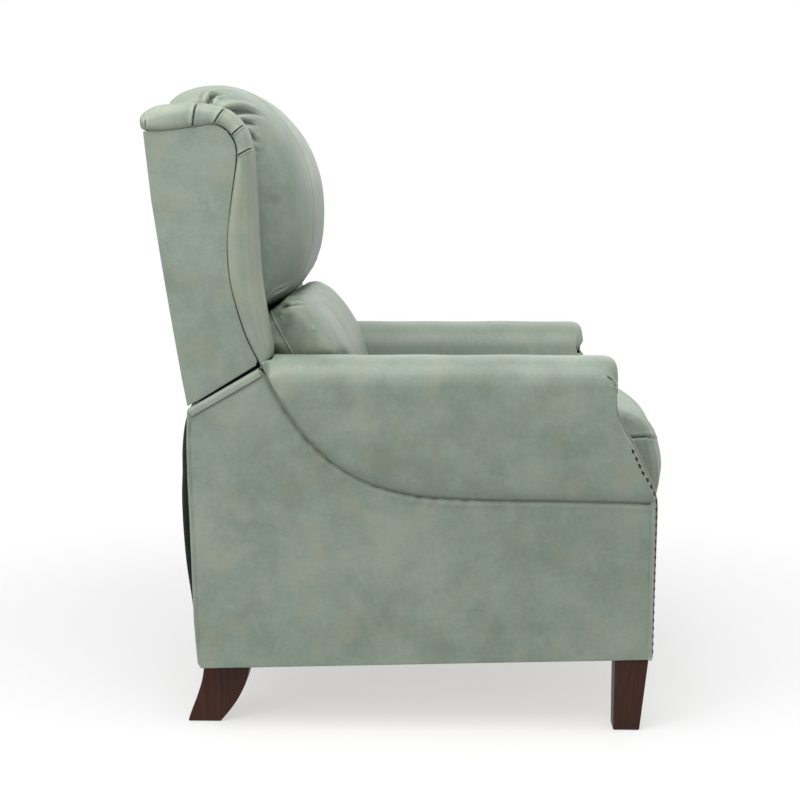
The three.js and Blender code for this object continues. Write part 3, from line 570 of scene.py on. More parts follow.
def woven_cloth(name, dark, light, thread_spacing):
    material, shader = new_material(name, dark, 0.9)
    shader.inputs["Sheen Weight"].default_value = 0.08
    shader.inputs["Specular IOR Level"].default_value = 0.15
    where = object_place(material)
    across, along = (add_node(material, "ShaderNodeTexWave",
                              {"bands_direction": axis, "Scale": 1 / thread_spacing / 6.28,
                               "Distortion": 0.4}, {"Vector": where}).outputs["Fac"]
                     for axis in "XZ")
    weave = add_node(material, "ShaderNodeMath", {"operation": "MAXIMUM"},
                     {0: across, 1: along}).outputs["Value"]
    wire(material, colour_ramp(material, weave, [(0.2, dark), (0.9, light)]),
         shader.inputs["Base Color"])
    raised(material, shader, weave, 0.3, 0.0005)
    return material


enamel = metal("steel, grey stove enamel", "#4c4f51", "#5c5f61", 0.42, 0.02, metallic=0.3)
spring_wire = metal("spring steel, oiled", "#33363a", "#4a4d50", 0.38, 0.01)
bronze = metal("steel nail, antique bronze plate", "#2a1d15", "#4c3a29", 0.40, 0.004)
black_cloth = woven_cloth("black dust cloth, plain weave", "#0b0d0c", "#191c1a", 0.0012)

slot_materials = {"leather": leather, "leg_wood": espresso, "frame_wood": pine, "steel": enamel,
                  "spring_steel": spring_wire, "nail_metal": bronze, "black_cloth": black_cloth}


def carry_fold(piece, spread=3, reach=0.004, gain=4.5):
    """Stores how hollow or sharp the surface is at each point: 0 hollow, 0.5 flat, 1 sharp."""
    points, normals = points_of(piece), normals_of(piece)
    edges = np.zeros(len(piece.data.edges) * 2, int)
    piece.data.edges.foreach_get("vertices", edges)
    edges = edges.reshape(-1, 2)
    count = np.bincount(edges.ravel(), minlength=len(points)).clip(1)[:, None]

    def averaged(values):
        total = np.zeros_like(values)
        np.add.at(total, edges[:, 0], values[edges[:, 1]])
        np.add.at(total, edges[:, 1], values[edges[:, 0]])
        return total / count

    step = np.linalg.norm(points[edges[:, 0]] - points[edges[:, 1]], axis=1).mean()
    bend = ((points - averaged(points)) * normals).sum(1) / step**2 * reach
    bend = bend[:, None]
    for _ in range(spread):
        bend = (bend + averaged(bend)) / 2
    value = np.clip(0.5 + bend[:, 0] * gain, 0, 1)
    attribute = piece.data.attributes.get("fold") or piece.data.attributes.new(
        "fold", "FLOAT", "POINT")
    attribute.data.foreach_set("value", value.astype(np.float32))
    return piece


def dress(piece, body, slot, replaces=()):
    """Gives a finished piece the material of its slot and its body, and hides the frame parts it
    replaces.
    """
    if slot == "leather":
        carry_fold(piece)
    piece.data.materials.clear()
    piece.data.materials.append(slot_materials[slot])
    if replaces:
        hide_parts(*replaces)
    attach(piece, body)
    return piece


def dress_pair(piece, name, body, slot, node=None):
    """Dresses the sitter's right piece and its mirror image on the left."""
    twin = mirrored(piece, f"left_{name}")
    for side, each in (("right", piece), ("left", twin)):
        dress(each, body, slot, (f"{side}_{node}",) if node else ())
    return piece, twin


# %% [markdown]
# ## Camera, light and floor
# The photograph looks at the chair's right side from about three metres, a little above the arm
# and slightly downwards. The background is a white sweep: the floor fades into plain white away
# from the chair and keeps the chair's shadow near it. The light is soft, mostly from above, with a
# bit more from the upper left, so the lamps are large and the world fills the rest.

# %% Camera
FRAME_PIXELS = 800
FOCAL_PIXELS = 1589.0
SENSOR = 36.0
CAMERA_PLACE = (-2.95599, -0.04641, 0.906)
CAMERA_PITCH = 7.66
CAMERA_YAW = 1.5

camera_data = bpy.data.cameras.new("camera")
camera_data.sensor_width = SENSOR
camera_data.lens = FOCAL_PIXELS / FRAME_PIXELS * SENSOR
camera = bpy.data.objects.new("camera", camera_data)
bpy.context.scene.collection.objects.link(camera)
camera.location = CAMERA_PLACE
camera.rotation_euler = (math.radians(90 - CAMERA_PITCH), 0, math.radians(CAMERA_YAW - 90))
bpy.context.scene.camera = camera

# %% Light and floor
scene = bpy.context.scene
scene.view_settings.view_transform = "Standard"
world = bpy.data.worlds.new("studio")
world.use_nodes = True
scene.world = world


def white_to_camera(surface, strength, lit):
    """A background that is white where the camera, a mirror or glass sees it."""
    paths = add_node(surface, "ShaderNodeLightPath").outputs
    seen = paths["Is Camera Ray"]
    for other in ("Is Glossy Ray", "Is Transmission Ray"):
        seen = add_node(surface, "ShaderNodeMath", {"operation": "MAXIMUM"},
                        {0: seen, 1: paths[other]}).outputs[0]
    return ranged(surface, seen, 0.0, 1.0, lit, strength)


background = world.node_tree.nodes["Background"]
background.inputs["Color"].default_value = (1, 1, 1, 1)
world.node_tree.links.new(white_to_camera(world, 1.0, 0.30), background.inputs["Strength"])

bpy.ops.mesh.primitive_plane_add(size=30, location=(0, 0, -0.0005))
floor = bpy.context.object
floor.name = "floor"
floor_material, floor_shader = new_material("studio floor, white vinyl", "#f4f4f4", 0.7)
floor_nodes = floor_material.node_tree
reach = add_node(floor_material, "ShaderNodeVectorMath", {"operation": "LENGTH"},
                 {0: object_place(floor_material)})
fade = add_node(floor_material, "ShaderNodeMapRange",
                {"interpolation_type": "SMOOTHSTEP", "From Min": 0.75, "From Max": 1.5,
                 "To Min": 0.58}, {"Value": reach.outputs["Value"]})
glow = add_node(floor_material, "ShaderNodeEmission",
                links={"Strength": white_to_camera(floor_material, 1.0, 0.36)})
swept = add_node(floor_material, "ShaderNodeMixShader", links={
    0: fade.outputs["Result"], 1: floor_shader.outputs["BSDF"], 2: glow.outputs["Emission"]})
floor_nodes.links.new(swept.outputs["Shader"], floor_nodes.nodes["Material Output"].inputs[0])
floor.data.materials.append(floor_material)


def soft_lamp(name, place, target, size, power):
    data = bpy.data.lights.new(name, "AREA")
    data.shape = "RECTANGLE"
    data.size, data.size_y = size
    data.energy = power
    lamp = bpy.data.objects.new(name, data)
    bpy.context.scene.collection.objects.link(lamp)
    lamp.location = place
    lamp.rotation_euler = (Vector(target) - Vector(place)).to_track_quat("-Z", "Y").to_euler()


soft_lamp("overhead softbox", (-1.2, 0.2, 3.0), (0, 0, 0.5), (3.2, 2.6), 90)
soft_lamp("side softbox, behind the chair", (-2.6, 2.2, 1.7), (0, 0.1, 0.6), (1.8, 1.8), 38)
soft_lamp("softbox ahead of the chair", (0.3, -3.2, 1.3), (0, 0, 0.6), (2.0, 2.0), 14)
soft_lamp("fill from the far side", (3.0, -0.6, 2.0), (0, 0, 0.6), (2.4, 2.0), 11)

# %% [markdown]
# ## Side panels
# Each side of the base is a board covered with one piece of leather, pulled round the edges and
# stapled inside. Its top edge slopes at the rear, under the wing, and then dives under the arm.
# A grid is laid between the four borders, thickened inwards, and its rim rounded, because leather
# over a board never has a sharp edge.

# %% Side panel shapes
SIDE_OUT = 388.0
REAR_LINE = [(-321.5, 105.3), (-325.2, 107.4), (-327.4, 112), (-330.5, 150), (-333, 189),
             (-337, 359), (-339.5, 430), (-340, 490), (-338, 542)]
FRONT_BEHIND_FACING = 428.5
ARM_SEAM = [(-214, 616), (-186, 560), (-153, 511), (-121, 476), (-88, 452), (-39, 425), (10, 410),
            (60, 402), (142, 399), (240, 398), (338, 397), (419, 394)]
SLOPE = [(-338, 542), (-222, 609)]


def ahead_on(line, up):
    """How far ahead a line of ahead and up runs at a height."""
    return np.interp(up, [p[1] for p in line], [p[0] for p in line])


def bottom_edge(ahead):
    return between(105.0, 126.0, (ahead + 334) / 762)


def make_side_panel():
    hidden_top = [(ahead, up + 16) for ahead, up in ARM_SEAM[1:]]
    top = [*SLOPE, (-212, 606), *hidden_top[:-1], (418, 411)]
    front = [(FRONT_BEHIND_FACING, bottom_edge(FRONT_BEHIND_FACING)), (FRONT_BEHIND_FACING, 385),
             (418, 411)]
    bottom = [REAR_LINE[0], front[0]]
    net = patch(bottom, top, REAR_LINE, front, 150, 96)
    piece = laid_grid("right_side_leather", placed(SIDE_OUT, net[..., 0], net[..., 1]))
    points = points_of(piece)
    points[:, 0] -= uneven(points, 0.42, 3) * 0.0009
    move_points(piece, points)
    thickened(piece, 0.0115)
    bevelled(piece, 0.0042)
    return piece


side_leather = make_side_panel()
print("side panel:", len(side_leather.data.polygons), "faces")

# %% [markdown]
# Under the arm the panel is drawn in where the arm's leather is stapled over it, and the pull makes
# short puckers. They are pressed in with small creases square to the seam, at uneven steps.

# %% Puckers under the arm, and the rows of stitching
arm_seam_line = line_of(*[(SIDE_OUT, ahead, up - 2.5) for ahead, up in ARM_SEAM], count=90)
press(side_leather, [arm_seam_line], 0.0034, 0.0048, lip=0.25)
draw = np.random.default_rng(11)
puckers = []
for share in np.linspace(0.12, 0.6, 8) + draw.uniform(-0.02, 0.02, 8):
    ahead, up = on_line(ARM_SEAM, share)
    slant = draw.uniform(-6, 6)
    drop = draw.uniform(22, 46)
    puckers.append(line_of((SIDE_OUT, ahead, up - 4), (SIDE_OUT, ahead - 3 + slant / 2,
                   up - 4 - drop / 2), (SIDE_OUT, ahead - 6 + slant, up - 4 - drop), count=8))
press(side_leather, puckers, 0.0010, 0.0065, lip=0.5, fade=(0.0, 0.8))
REAR_STITCHES = [(SIDE_OUT, -321, 112), (SIDE_OUT, -328, 189), (SIDE_OUT, -332, 359),
                 (SIDE_OUT, -335, 449), (SIDE_OUT, -334, 523)]
SLOPE_STITCHES = [(SIDE_OUT, -328, 526), (SIDE_OUT, -230, 583)]
press(side_leather, [line_of(*SLOPE_STITCHES)], 0.001, 0.0014)
press(side_leather, [line_of(*REAR_STITCHES)], 0.0014, 0.0013)
smooth_shaded(side_leather)
dress_pair(side_leather, "side_leather", "base", "leather", "outer_side_panel")
for side, flip in (("right", 1), ("left", -1)):
    panel = bpy.data.objects[f"{side}_side_leather"]
    stitched(f"{side}_side_stitching", panel, [
        line_of(*[(out * flip, ahead, up) for out, ahead, up in stops])
        for stops in (REAR_STITCHES, SLOPE_STITCHES)], "base")

# %% [markdown]
# ## Facing strip on the slope
# A narrow strip of leather caps the sloping edge that the wing comes down to, with its lower edge
# folded under and sewn. It is a thin folded band: out over the side, over the top and inwards.

# %% Slope facing
STRIP_ENDS = [(-337.5, 542.2), (-221, 609.5)]


def make_slope_strip():
    section = [(389.4, -12.6), (390.9, -11.4), (390.8, -7), (390.2, -2.5), (388.0, 0.4),
               (384.0, 1.4), (372, 1.6), (340, 1.5), (296, 1.2)]
    (foot, low), (head, high) = SLOPE
    slope = math.atan2(high - low, head - foot)
    start, end = STRIP_ENDS
    along = np.linspace(0, 1, 40)[:, None]
    section = resampled(section, 26)
    out, sunk = section[None, :, 0], section[None, :, 1]
    ahead = between(start[0], end[0], along) - sunk * math.sin(slope)
    up = between(start[1], end[1], along) + sunk * math.cos(slope)
    piece = laid_grid("right_slope_strip", placed(out, ahead, up))
    thickened(piece, 0.0016)
    bevelled(piece, 0.0006, 2, 50)
    return smooth_shaded(piece)


slope_strip = make_slope_strip()
dress_pair(slope_strip, "slope_strip", "base", "leather")


REAR_LOW, REAR_HIGH = 106, 541


def make_rear_side():
    """The leather that turns round the rear edge of a side and runs in to the black cloth."""
    section = resampled([(388.2, -3.0), (388.4, -1.2), (387.4, 0.6), (384.5, 1.6), (376, 1.8),
                         (340, 1.8), (288, 1.6)], 40)
    heights = np.linspace(REAR_LOW, REAR_HIGH, 60)
    rear = ahead_on(REAR_LINE, heights)
    out, back = section[:, :1], section[:, 1:]
    piece = laid_grid("right_rear_side_leather", placed(out, rear - back, heights))
    thickened(piece, 0.0015)
    return smooth_shaded(piece, 60)


dress_pair(make_rear_side(), "rear_side_leather", "base", "leather")

# %% [markdown]
# ## Arms
# A rolled arm is foam wrapped over the side board, covered by one hide that starts at the curved
# seam on the outside, runs up over the roll and goes down between the arm and the seat. Cross
# sections at stations along the arm are joined by smooth curves both ways, like ribs under a skin.

# %% Arm sections
FACING_CURVE = [(428, 393), (402, 448), (376, 498), (365, 522), (361, 565)]
FACING_DEPTH = 12.0
STRIP_REAR = [(425.4, 340), (426, 390), (425, 399), (421, 410), (416, 422), (409, 434), (401, 448),
              (396, 461), (389, 474), (383, 488), (376, 503), (369, 518), (363.5, 533), (361, 548),
              (360.5, 562)]
ROLL = [(399.6, 575), (398.2, 592), (393, 606), (383, 617), (366, 624.5), (343, 628), (316, 627.4),
        (289, 622), (267, 610.5), (254, 592), (250.4, 566)]
INNER_WALL = [(250, 535), (250, 470), (251, 400), (252, 364)]
ARM_MIDDLE = np.array([325.0, 592.0])
ARM_TOP = 628
ARM_REAR = -199
OUTER_WALL = 380                 # what lies further out than this is the arm's outer wall
NOSE_FRONT = 367.4


def arm_front(out, up):
    """The front edge of the arm's leather: its outer wall runs over the facing, its inner wall
    stops behind it."""
    inner = ahead_on(FACING_CURVE, up) - FACING_DEPTH + 1.5
    return between(inner, ahead_on(STRIP_REAR, up) - 0.6, eased(out, 300, 380))


def arm_section(seam_up):
    """The outline of the arm at a station, from the seam over the roll to the inside, as out
    and up."""
    wall_top = ROLL[0][1]
    low = min(seam_up, wall_top - 8)
    drop = max(0.0, seam_up - low)
    outer = [(384.5, seam_up - 5), (388.5, seam_up - 2.5), (393.0, seam_up + 1.5)]
    for share, out in ((0.08, 396.8), (0.28, 398.8), (0.5, 399.7), (0.75, 399.9)):
        outer.append((out, between(seam_up + 3, max(wall_top, seam_up + 5), share)))
    roll = [(out, max(up, seam_up + 5 + k * 0.6) if drop and k < 5 else up)
            for k, (out, up) in enumerate(ROLL)]
    return np.array([*outer, *roll, *INNER_WALL])


# The rings that close the nose: share of the section kept, and how far back they lie.
NOSE_RINGS = [(1.0, 27), (0.975, 15.5), (0.935, 10.5), (0.89, 7.5), (0.82, 4.6), (0.7, 2.0),
              (0.5, 0.4), (0.25, 0.0), (0.02, 0.0)]


def nose_ring(section, scale, back):
    """The section drawn in towards the arm's middle: the roll from all sides, and the walls below
    it only sideways. The roll's front stands out over the facing as a nose."""
    out, up = section.T
    roll = eased(up, 560, 578)
    drawn_out = between(ARM_MIDDLE[0], out, scale)
    drawn_up = between(up, between(ARM_MIDDLE[1], up, scale), roll)
    edge = arm_front(out, drawn_up)
    if scale < 0.98:
        edge = np.minimum(edge, ahead_on(FACING_CURVE, drawn_up) - 2)
    nose = NOSE_FRONT - back * eased(drawn_up, 566, 600) - 3.5 * (1 - eased(drawn_up, 568, 598))
    overhang = eased(drawn_up, 566, 579) * between(eased(1 - scale, 0.0, 0.12), 1,
                                                   eased(drawn_up, 590, 606))
    return drawn_out, between(edge - 2.5 * (scale > 0.98), nose, overhang), drawn_up


def make_arm():
    stations = []
    seam_rear, seam_front = ARM_SEAM[0][0], ARM_SEAM[-1][0]
    for share in (0, 0.03, 0.08, 0.14, 0.2, 0.28, 0.37, 0.47, 0.58, 0.7, 0.8, 0.88, 0.93):
        seam_ahead, seam_up = on_line(ARM_SEAM, share)
        section = arm_section(seam_up)
        out, up = section.T
        seam_side = 1 - eased(up, seam_up, ARM_TOP)
        rear = np.where(out > OUTER_WALL, between(ARM_REAR, seam_rear, seam_side), ARM_REAR)
        along = (seam_ahead - seam_rear) / (seam_front - seam_rear)
        front = between(arm_front(out, up), NOSE_FRONT - 25, eased(up, 570, 600))
        straight = between(rear, front, along)
        follows = np.where(out > OUTER_WALL, seam_side, 0) * (1 - along)
        stations.append((out, between(straight, seam_ahead, follows), up))
    first = stations[0]
    rear_caps = []
    for scale, back in ((0.02, 5.0), (0.55, 5.0), (0.86, 4.2), (0.965, 2.0)):
        out = between(ARM_MIDDLE[0], first[0], scale)
        up = np.where(first[2] > 560, between(ARM_MIDDLE[1], first[2], scale), first[2])
        rear_caps.append((out, first[1] - back, up))
    front_caps = [nose_ring(arm_section(394.5), scale, back) for scale, back in NOSE_RINGS]
    net = np.array([np.stack(ring, axis=-1) for ring in (*rear_caps, *stations, *front_caps)])
    net = resampled(resampled(net, 220, 0), 150, 1)
    return laid_grid("right_arm_leather", placed(net[..., 0], net[..., 1], net[..., 2]))


arm_leather = make_arm()
low, high = points_of(arm_leather).min(0), points_of(arm_leather).max(0)
print("arm:", np.round(low, 3), np.round(high, 3))

# %% [markdown]
# The nose of the arm is a small cap sewn on at the front. Its seam slants down the outside to the
# top of the facing, so a short crease is pressed there, and the hide swells a little each side.

# %% Nose crease, and the soft unevenness of the padding
arm_points = points_of(arm_leather)
arm_points += normals_of(arm_leather) * (uneven(arm_points, 0.16, 5) * 0.0007)[:, None]
move_points(arm_leather, arm_points)
arm_surface = surface_of(arm_leather)
nose_crease = onto(arm_surface, line_of((397, 341, 609), (398, 346, 603), (398, 352, 596),
                                        (398, 356, 590), (396, 360, 583), (392, 362, 576)))
nose_lip = onto(arm_surface, line_of((398, 338, 607), (398, 343, 601), (398, 348, 595),
                                     (398, 353, 588), (396, 357, 581)))
press(arm_leather, [nose_lip], -0.0014, 0.0022, lip=0.0, fade=(0.3, 0.3))
press(arm_leather, [nose_crease], 0.0036, 0.0017, lip=0.25, fade=(0.35, 0.0))
inner_crease = onto(arm_surface, line_of((252, 353, 590), (251, 356, 585), (250.5, 360, 580)))
press(arm_leather, [inner_crease], 0.0014, 0.0016, lip=0.3, fade=(0.45, 0.0))
smooth_shaded(arm_leather, 60)
dress_pair(arm_leather, "arm_leather", "base", "leather", "arm")

# %% [markdown]
# ## Arm front facings
# The front of each arm is closed by a narrow padded facing that follows the curve of the arm and
# runs down to the bottom of the base. Its outer side carries the nail heads between two thin welts.

# %% Facing
FACING_FRONT = [(429, 126.5), (429.6, 145), (430.3, 220), (431.4, 300), (432.2, 360), (432, 388),
                (429.5, 403), (422.5, 424), (415, 440), (409, 454), (396, 480), (389, 494),
                (382, 504), (372.5, 522), (366.5, 534), (363.5, 548), (362.5, 560), (362, 572)]
FACING_STRIP = [(427.2, 126.5), (427.4, 250), (427.4, 340), (427.0, 390), (425.6, 399),
                *STRIP_REAR[3:-1], (360.5, 560), (360, 572)]
FACING_LOW, FACING_TOP = 126.2, 572


def facing_line(share, extra=0.0):
    """A line up the facing, between its front edge (0) and the rear edge of its nail strip (1)."""
    front, rear = resampled(FACING_FRONT, 400), resampled(FACING_STRIP, 400)
    heights = between(FACING_LOW, FACING_TOP, np.linspace(0, 1, 150))
    return between(ahead_on(front, heights), ahead_on(rear, heights), share) + extra, heights


def make_facing():
    # Out, share of the way back over the nail strip, and what is added ahead
    section = [(250.2, 0, -13), (250.0, 0, -7), (251.0, 0, -1.8), (256, 0, 0), (300, 0, 1.0),
               (345, 0, 1.0), (371, 0, 0.3), (377, 0.02, -0.3), (380.5, 0.2, 0.2), (384, 0.42, 0.6),
               (387.5, 0.68, 0.6), (390.3, 0.93, 0), (391.2, 1.0, -2), (390.4, 1.0, -5.5),
               (386, 1.0, -6)]
    section = resampled(section, 64)
    net = np.array([placed(outward, *facing_line(share, extra))
                    for outward, share, extra in section])
    piece = laid_grid("right_facing_leather", net)
    thickened(piece, 0.003)
    return smooth_shaded(piece, 50)


facing_leather = make_facing()
dress_pair(facing_leather, "facing_leather", "base", "leather", "arm_front_facing")
for name, outward, share, extra in (("facing_front_welt", 376.6, 0, 0.6),
                                    ("facing_rear_welt", 390.6, 1.0, -0.6),
                                    ("facing_inner_welt", 253.0, 0, 0.2)):
    dress_pair(welt(f"right_{name}", placed(outward, *facing_line(share, extra)), 0.0016), name,
               "base", "leather")

# %% [markdown]
# ## Nail heads
# Domed upholstery nails stand in a row on the rounded outer edge of the facing, one every 13.4 mm,
# from below the nose to the bottom. One dome is modelled and flattened, and copied along the line.
# Where the facing slants up to the nose, the row keeps close to its rear edge.

# %% Nails
NAIL_PITCH = 0.0134
NAIL_RADIUS = 0.0040
NAIL_BACK, NAIL_DOME = 0.12, 0.6     # how flat a nail is behind and in front
NAILS_LOW, NAILS_HIGH = 0.130, 0.484     # in metres
NAIL_SHARES = (0.37, 0.84)           # of the facing strip, on the straight and near the nose
NAIL_OUTS = (377, 391)               # how far out the shares 0 and 1 lie


def make_nail():
    bpy.ops.object.select_all(action="DESELECT")
    bpy.ops.mesh.primitive_uv_sphere_add(segments=12, ring_count=8, radius=NAIL_RADIUS)
    nail = bpy.context.object
    nail.name = "nail_pattern"
    points = points_of(nail)
    points[:, 2] *= np.where(points[:, 2] < 0, NAIL_BACK, NAIL_DOME)
    move_points(nail, points)
    return smooth_shaded(nail)


nail_pattern = make_nail()
pattern_pieces.append(nail_pattern)
for side, flip in (("right", 1), ("left", -1)):
    facing = bpy.data.objects[f"{side}_facing_leather"]
    heights = facing_line(0)[1]
    share = between(*NAIL_SHARES, eased(heights, 392, 450))
    row = placed(between(*NAIL_OUTS, share) * flip, *facing_line(share))
    row = row[(row[:, 2] > NAILS_LOW) & (row[:, 2] < NAILS_HIGH)]
    nails = repeated(f"{side}_nails", nail_pattern,
                     frames_along(surface_of(facing), row, NAIL_PITCH))
    dress(nails, "base", "nail_metal", replaces=(f"{side}_nail_trim",))
    print(side, "nails:", len(nails.data.polygons) // len(nail_pattern.data.polygons))

# %% [markdown]
# ## Wings
# Each wing is a flat board panel covered outside in plain leather. A padded roll is sewn round its
# top and front and turns over to the inside. The panel is laid between its borders like the side
# panel, but it is as thick as the wing, so its inner face is the wing's lining.

# %% Wing panel
WING_OUT, WING_IN = 372.0, 298.0
WING_SEAM = [(-405, 994), (-361, 996), (-321, 1001), (-288, 1005), (-267, 994), (-256, 975),
             (-254, 948), (-263, 884), (-270, 819), (-268, 763), (-258, 714), (-243, 665),
             (-223, 623)]
WING_EDGE = [(-416, 1013), (-405, 1027), (-380, 1037), (-323, 1041), (-272, 1031), (-244, 1005),
             (-231, 973), (-227, 940), (-224, 879), (-221, 809), (-216, 738), (-206, 674),
             (-201, 646), (-203, 628), (-209, 619)]


def make_wing_panel():
    rear = [(-341, 547), (-350, 596), (-365, 689), (-380, 787), (-394, 884), (-405, 994)]
    corner = WING_SEAM.index((-267, 994))
    top = resampled(WING_SEAM[:corner + 1], 30) - (0, 1.4)
    front = resampled(WING_SEAM[corner:][::-1], 60) - (1.2, 0.6)
    front = [(-227, 614), *front]
    bottom = [(-341, 547), (-315, 560), (-227, 614)]
    net = patch(bottom, top, rear, front, 56, 110)
    piece = laid_grid("right_wing_leather", placed(WING_OUT, net[..., 0], net[..., 1]))
    points = points_of(piece)
    points[:, 0] -= uneven(points, 0.22, 8) * 0.0008
    move_points(piece, points)
    thickened(piece, (WING_OUT - WING_IN) * MM)
    bevelled(piece, 0.004)
    return smooth_shaded(piece)


wing_leather = make_wing_panel()
dress_pair(wing_leather, "wing_leather", "backrest", "leather", "wing")


# %% [markdown]
# The roll has to turn a tight corner at the top front, where its outer edge is much longer than its
# seam. An upholsterer takes up the difference in pleats: the hide is folded over itself and pulled
# into the seam, so each pleat shows as a sharp line with a raised lip on one side.

# %% Wing roll
ROLL_SECTION = [(362, -0.06), (368.5, -0.02), (374.6, 0.045), (377.8, 0.22), (377.6, 0.46),
                (374.6, 0.68), (367, 0.86), (353, 0.97), (335, 1.0), (317, 0.965), (304.5, 0.85),
                (298.6, 0.64), (297.2, 0.36), (297.4, 0.0), (298.4, -0.12)]
ROLL_END = (336, 0.45)           # the point that the section shrinks to at either end
# Each pleat: its end on the outer edge and its end on the seam, as ahead and up
PLEATS = [((-318, 1041), (-324, 1000), 1.0), ((-273, 1032), (-291, 1003), 1.0),
          ((-240, 1006), (-263, 986), 1.0), ((-231, 967), (-253, 954), 0.7)]


def make_wing_roll():
    seam = np.array([(-412, 994), *WING_SEAM[1:], (-218, 612)])
    edge = np.array(WING_EDGE)
    seam, edge = resampled(seam, 720), resampled(edge, 720)
    out, toward = resampled(ROLL_SECTION, 80).T
    net = seam[:, None] + (edge - seam)[:, None] * toward[None, :, None]
    outs = np.broadcast_to(out, net.shape[:2]).copy()
    middle = between(seam, edge, ROLL_END[1])[:, None]
    for end, steps in ((0, 25), (-1, 19)):
        for k in range(steps):
            row = k if end == 0 else -1 - k
            scale = math.sqrt(max(0.0, 1 - (1 - k / steps) ** 2))
            net[row] = between(middle[row], net[row], scale)
            outs[row] = between(ROLL_END[0], outs[row], scale)
    return laid_grid("right_wing_roll_leather", placed(outs, net[..., 0], net[..., 1]))


def pleat_line(edge, seam):
    seam, edge = np.array(seam, float), np.array(edge, float)
    return line_of(*[(out, *between(seam, edge, share)) for out, share in (
        (376.0, -0.02), (376.0, 0.3), (376.0, 0.62), (368, 0.88), (348, 1.0))])


wing_roll = make_wing_roll()
roll_surface = surface_of(wing_roll)
for edge, seam, strength in PLEATS:
    line = onto(roll_surface, pleat_line(edge, seam))
    lip_line = line + np.array([0, 0.0042, 0.0006])
    press(wing_roll, [lip_line], -0.0011 * strength, 0.0050, lip=0.0, fade=(0.1, 0.35))
    press(wing_roll, [line], 0.0044 * strength, 0.0012, lip=0.2, fade=(0.0, 0.4))
roll_points = points_of(wing_roll)
roll_points += normals_of(wing_roll) * (uneven(roll_points, 0.09, 4) * 0.0006)[:, None]
move_points(wing_roll, roll_points)
press(wing_roll, [line_of((377, -402, 1024), (378, -400, 1008), (376, -400, 996))], 0.0012, 0.002,
      lip=0.5, fade=(0.2, 0.3))
smooth_shaded(wing_roll, 70)
dress_pair(wing_roll, "wing_roll_leather", "backrest", "leather", "wing_roll")

# %% [markdown]
# ## Outside back
# The outside of the back is a board covered in leather between the two wings, with a welt at each
# side and two sewn vertical seams, which split the wide hide into three.

# %% Outside back
BACK_FOOT = (-338.3, 549.0)          # ahead and up
BACK_SLOPE = 0.154
BACK_LOW, BACK_HIGH = 549.5, 1003.0
BACK_HALF = 296.5
BACK_SEAM_OUT = 105.0


def back_face(up):
    """How far ahead the outside of the back lies at a height."""
    return BACK_FOOT[0] - (up - BACK_FOOT[1]) * BACK_SLOPE


def make_outside_back():
    rows, columns = 120, 90
    across = np.linspace(-1, 1, rows)[:, None]
    upward = np.linspace(0, 1, columns)[None, :]
    up = between(BACK_LOW, BACK_HIGH, upward)
    crown = (1 - across**6) * (1 - (2 * upward - 1) ** 6)
    piece = laid_grid("outside_back_leather",
                      placed(across * BACK_HALF, back_face(up) - 1.5 * crown, up))
    faces_out = piece.data.polygons[0].normal.y > 0
    thickened(piece, 0.0105, offset=-1 if faces_out else 1)
    bevelled(piece, 0.004)
    seams = [[(side * BACK_SEAM_OUT, back_face(up) - 1.4, up) for up in (552, 700, 850, 1000)]
             for side in (-1, 1)]
    press(piece, [line_of(*seam) for seam in seams], 0.0022, 0.0022, lip=0.35)
    return smooth_shaded(piece), seams


outside_back, back_seams = make_outside_back()
dress(outside_back, "backrest", "leather", replaces=("outside_back_panel",))
beside = [line_of(*[(out + shift, ahead, up) for out, ahead, up in seam])
          for seam in back_seams for shift in (-4.5, 4.5)]
stitched("outside_back_stitching", outside_back, beside, "backrest")

# %% [markdown]
# A strip of the same hide turns over the top of the back, from the outside panel to the front of
# the top rail, where the head pillow covers its end.

# %% Top strip
TOP_STRIP_HALF = 296.0


def make_top_strip():
    section = resampled([(-409.2, 996), (-409.8, 1000.5), (-407.5, 1003.6), (-402, 1004.6),
                         (-380, 1003), (-352, 996), (-340, 982), (-333.5, 950)], 40)
    across = np.linspace(-TOP_STRIP_HALF, TOP_STRIP_HALF, 60)[:, None]
    piece = laid_grid("back_top_strip", placed(across, section[:, 0], section[:, 1]))
    thickened(piece, 0.0015, offset=0)
    return smooth_shaded(piece, 60)


dress(make_top_strip(), "backrest", "leather")

# %% [markdown]
# ## Pillows and cushions
# A pillow is a closed skin round a middle outline, drawn in towards its ends. It is remeshed to
# even squares and swollen by a short cloth simulation, held to a few millimetres of its own block,
# which gives the slightly irregular fullness that fibre filling has. Seams and gathers come after,
# because remeshing would wipe them out.

# %% Swelling a cushion
def swell(piece, voxel, limit, pressure=4.0, shrink=0.003, frames=14):
    """Voxel remesh and a short cloth simulation. Every point is kept within limit of its place."""
    start = points_of(piece) - normals_of(piece) * shrink
    move_points(piece, start)
    finish_with(piece, "REMESH", mode="VOXEL", voxel_size=voxel)
    finish_with(piece, "SMOOTH", factor=0.5, iterations=4)
    before = points_of(piece)
    take(piece)
    bpy.ops.object.modifier_add(type="CLOTH")
    cloth = piece.modifiers[-1]
    cloth.settings.quality = 4
    cloth.settings.mass = 0.4
    cloth.settings.tension_stiffness = 30
    cloth.settings.bending_stiffness = 3
    cloth.settings.use_pressure = True
    cloth.settings.uniform_pressure_force = pressure
    cloth.settings.effector_weights.gravity = 0
    cloth.collision_settings.use_collision = False
    for step in range(1, frames + 1):
        bpy.context.scene.frame_set(step)
    bpy.ops.object.modifier_apply(modifier=cloth.name)
    bpy.context.scene.frame_set(1)
    moved = points_of(piece) - before
    length = np.linalg.norm(moved, axis=1, keepdims=True)
    moved *= np.minimum(1, limit / np.maximum(length, 1e-9))
    move_points(piece, before + moved)
    finish_with(piece, "SMOOTH", factor=0.5, iterations=3)
    finish_with(piece, "SUBSURF", levels=1, render_levels=1)
    return piece


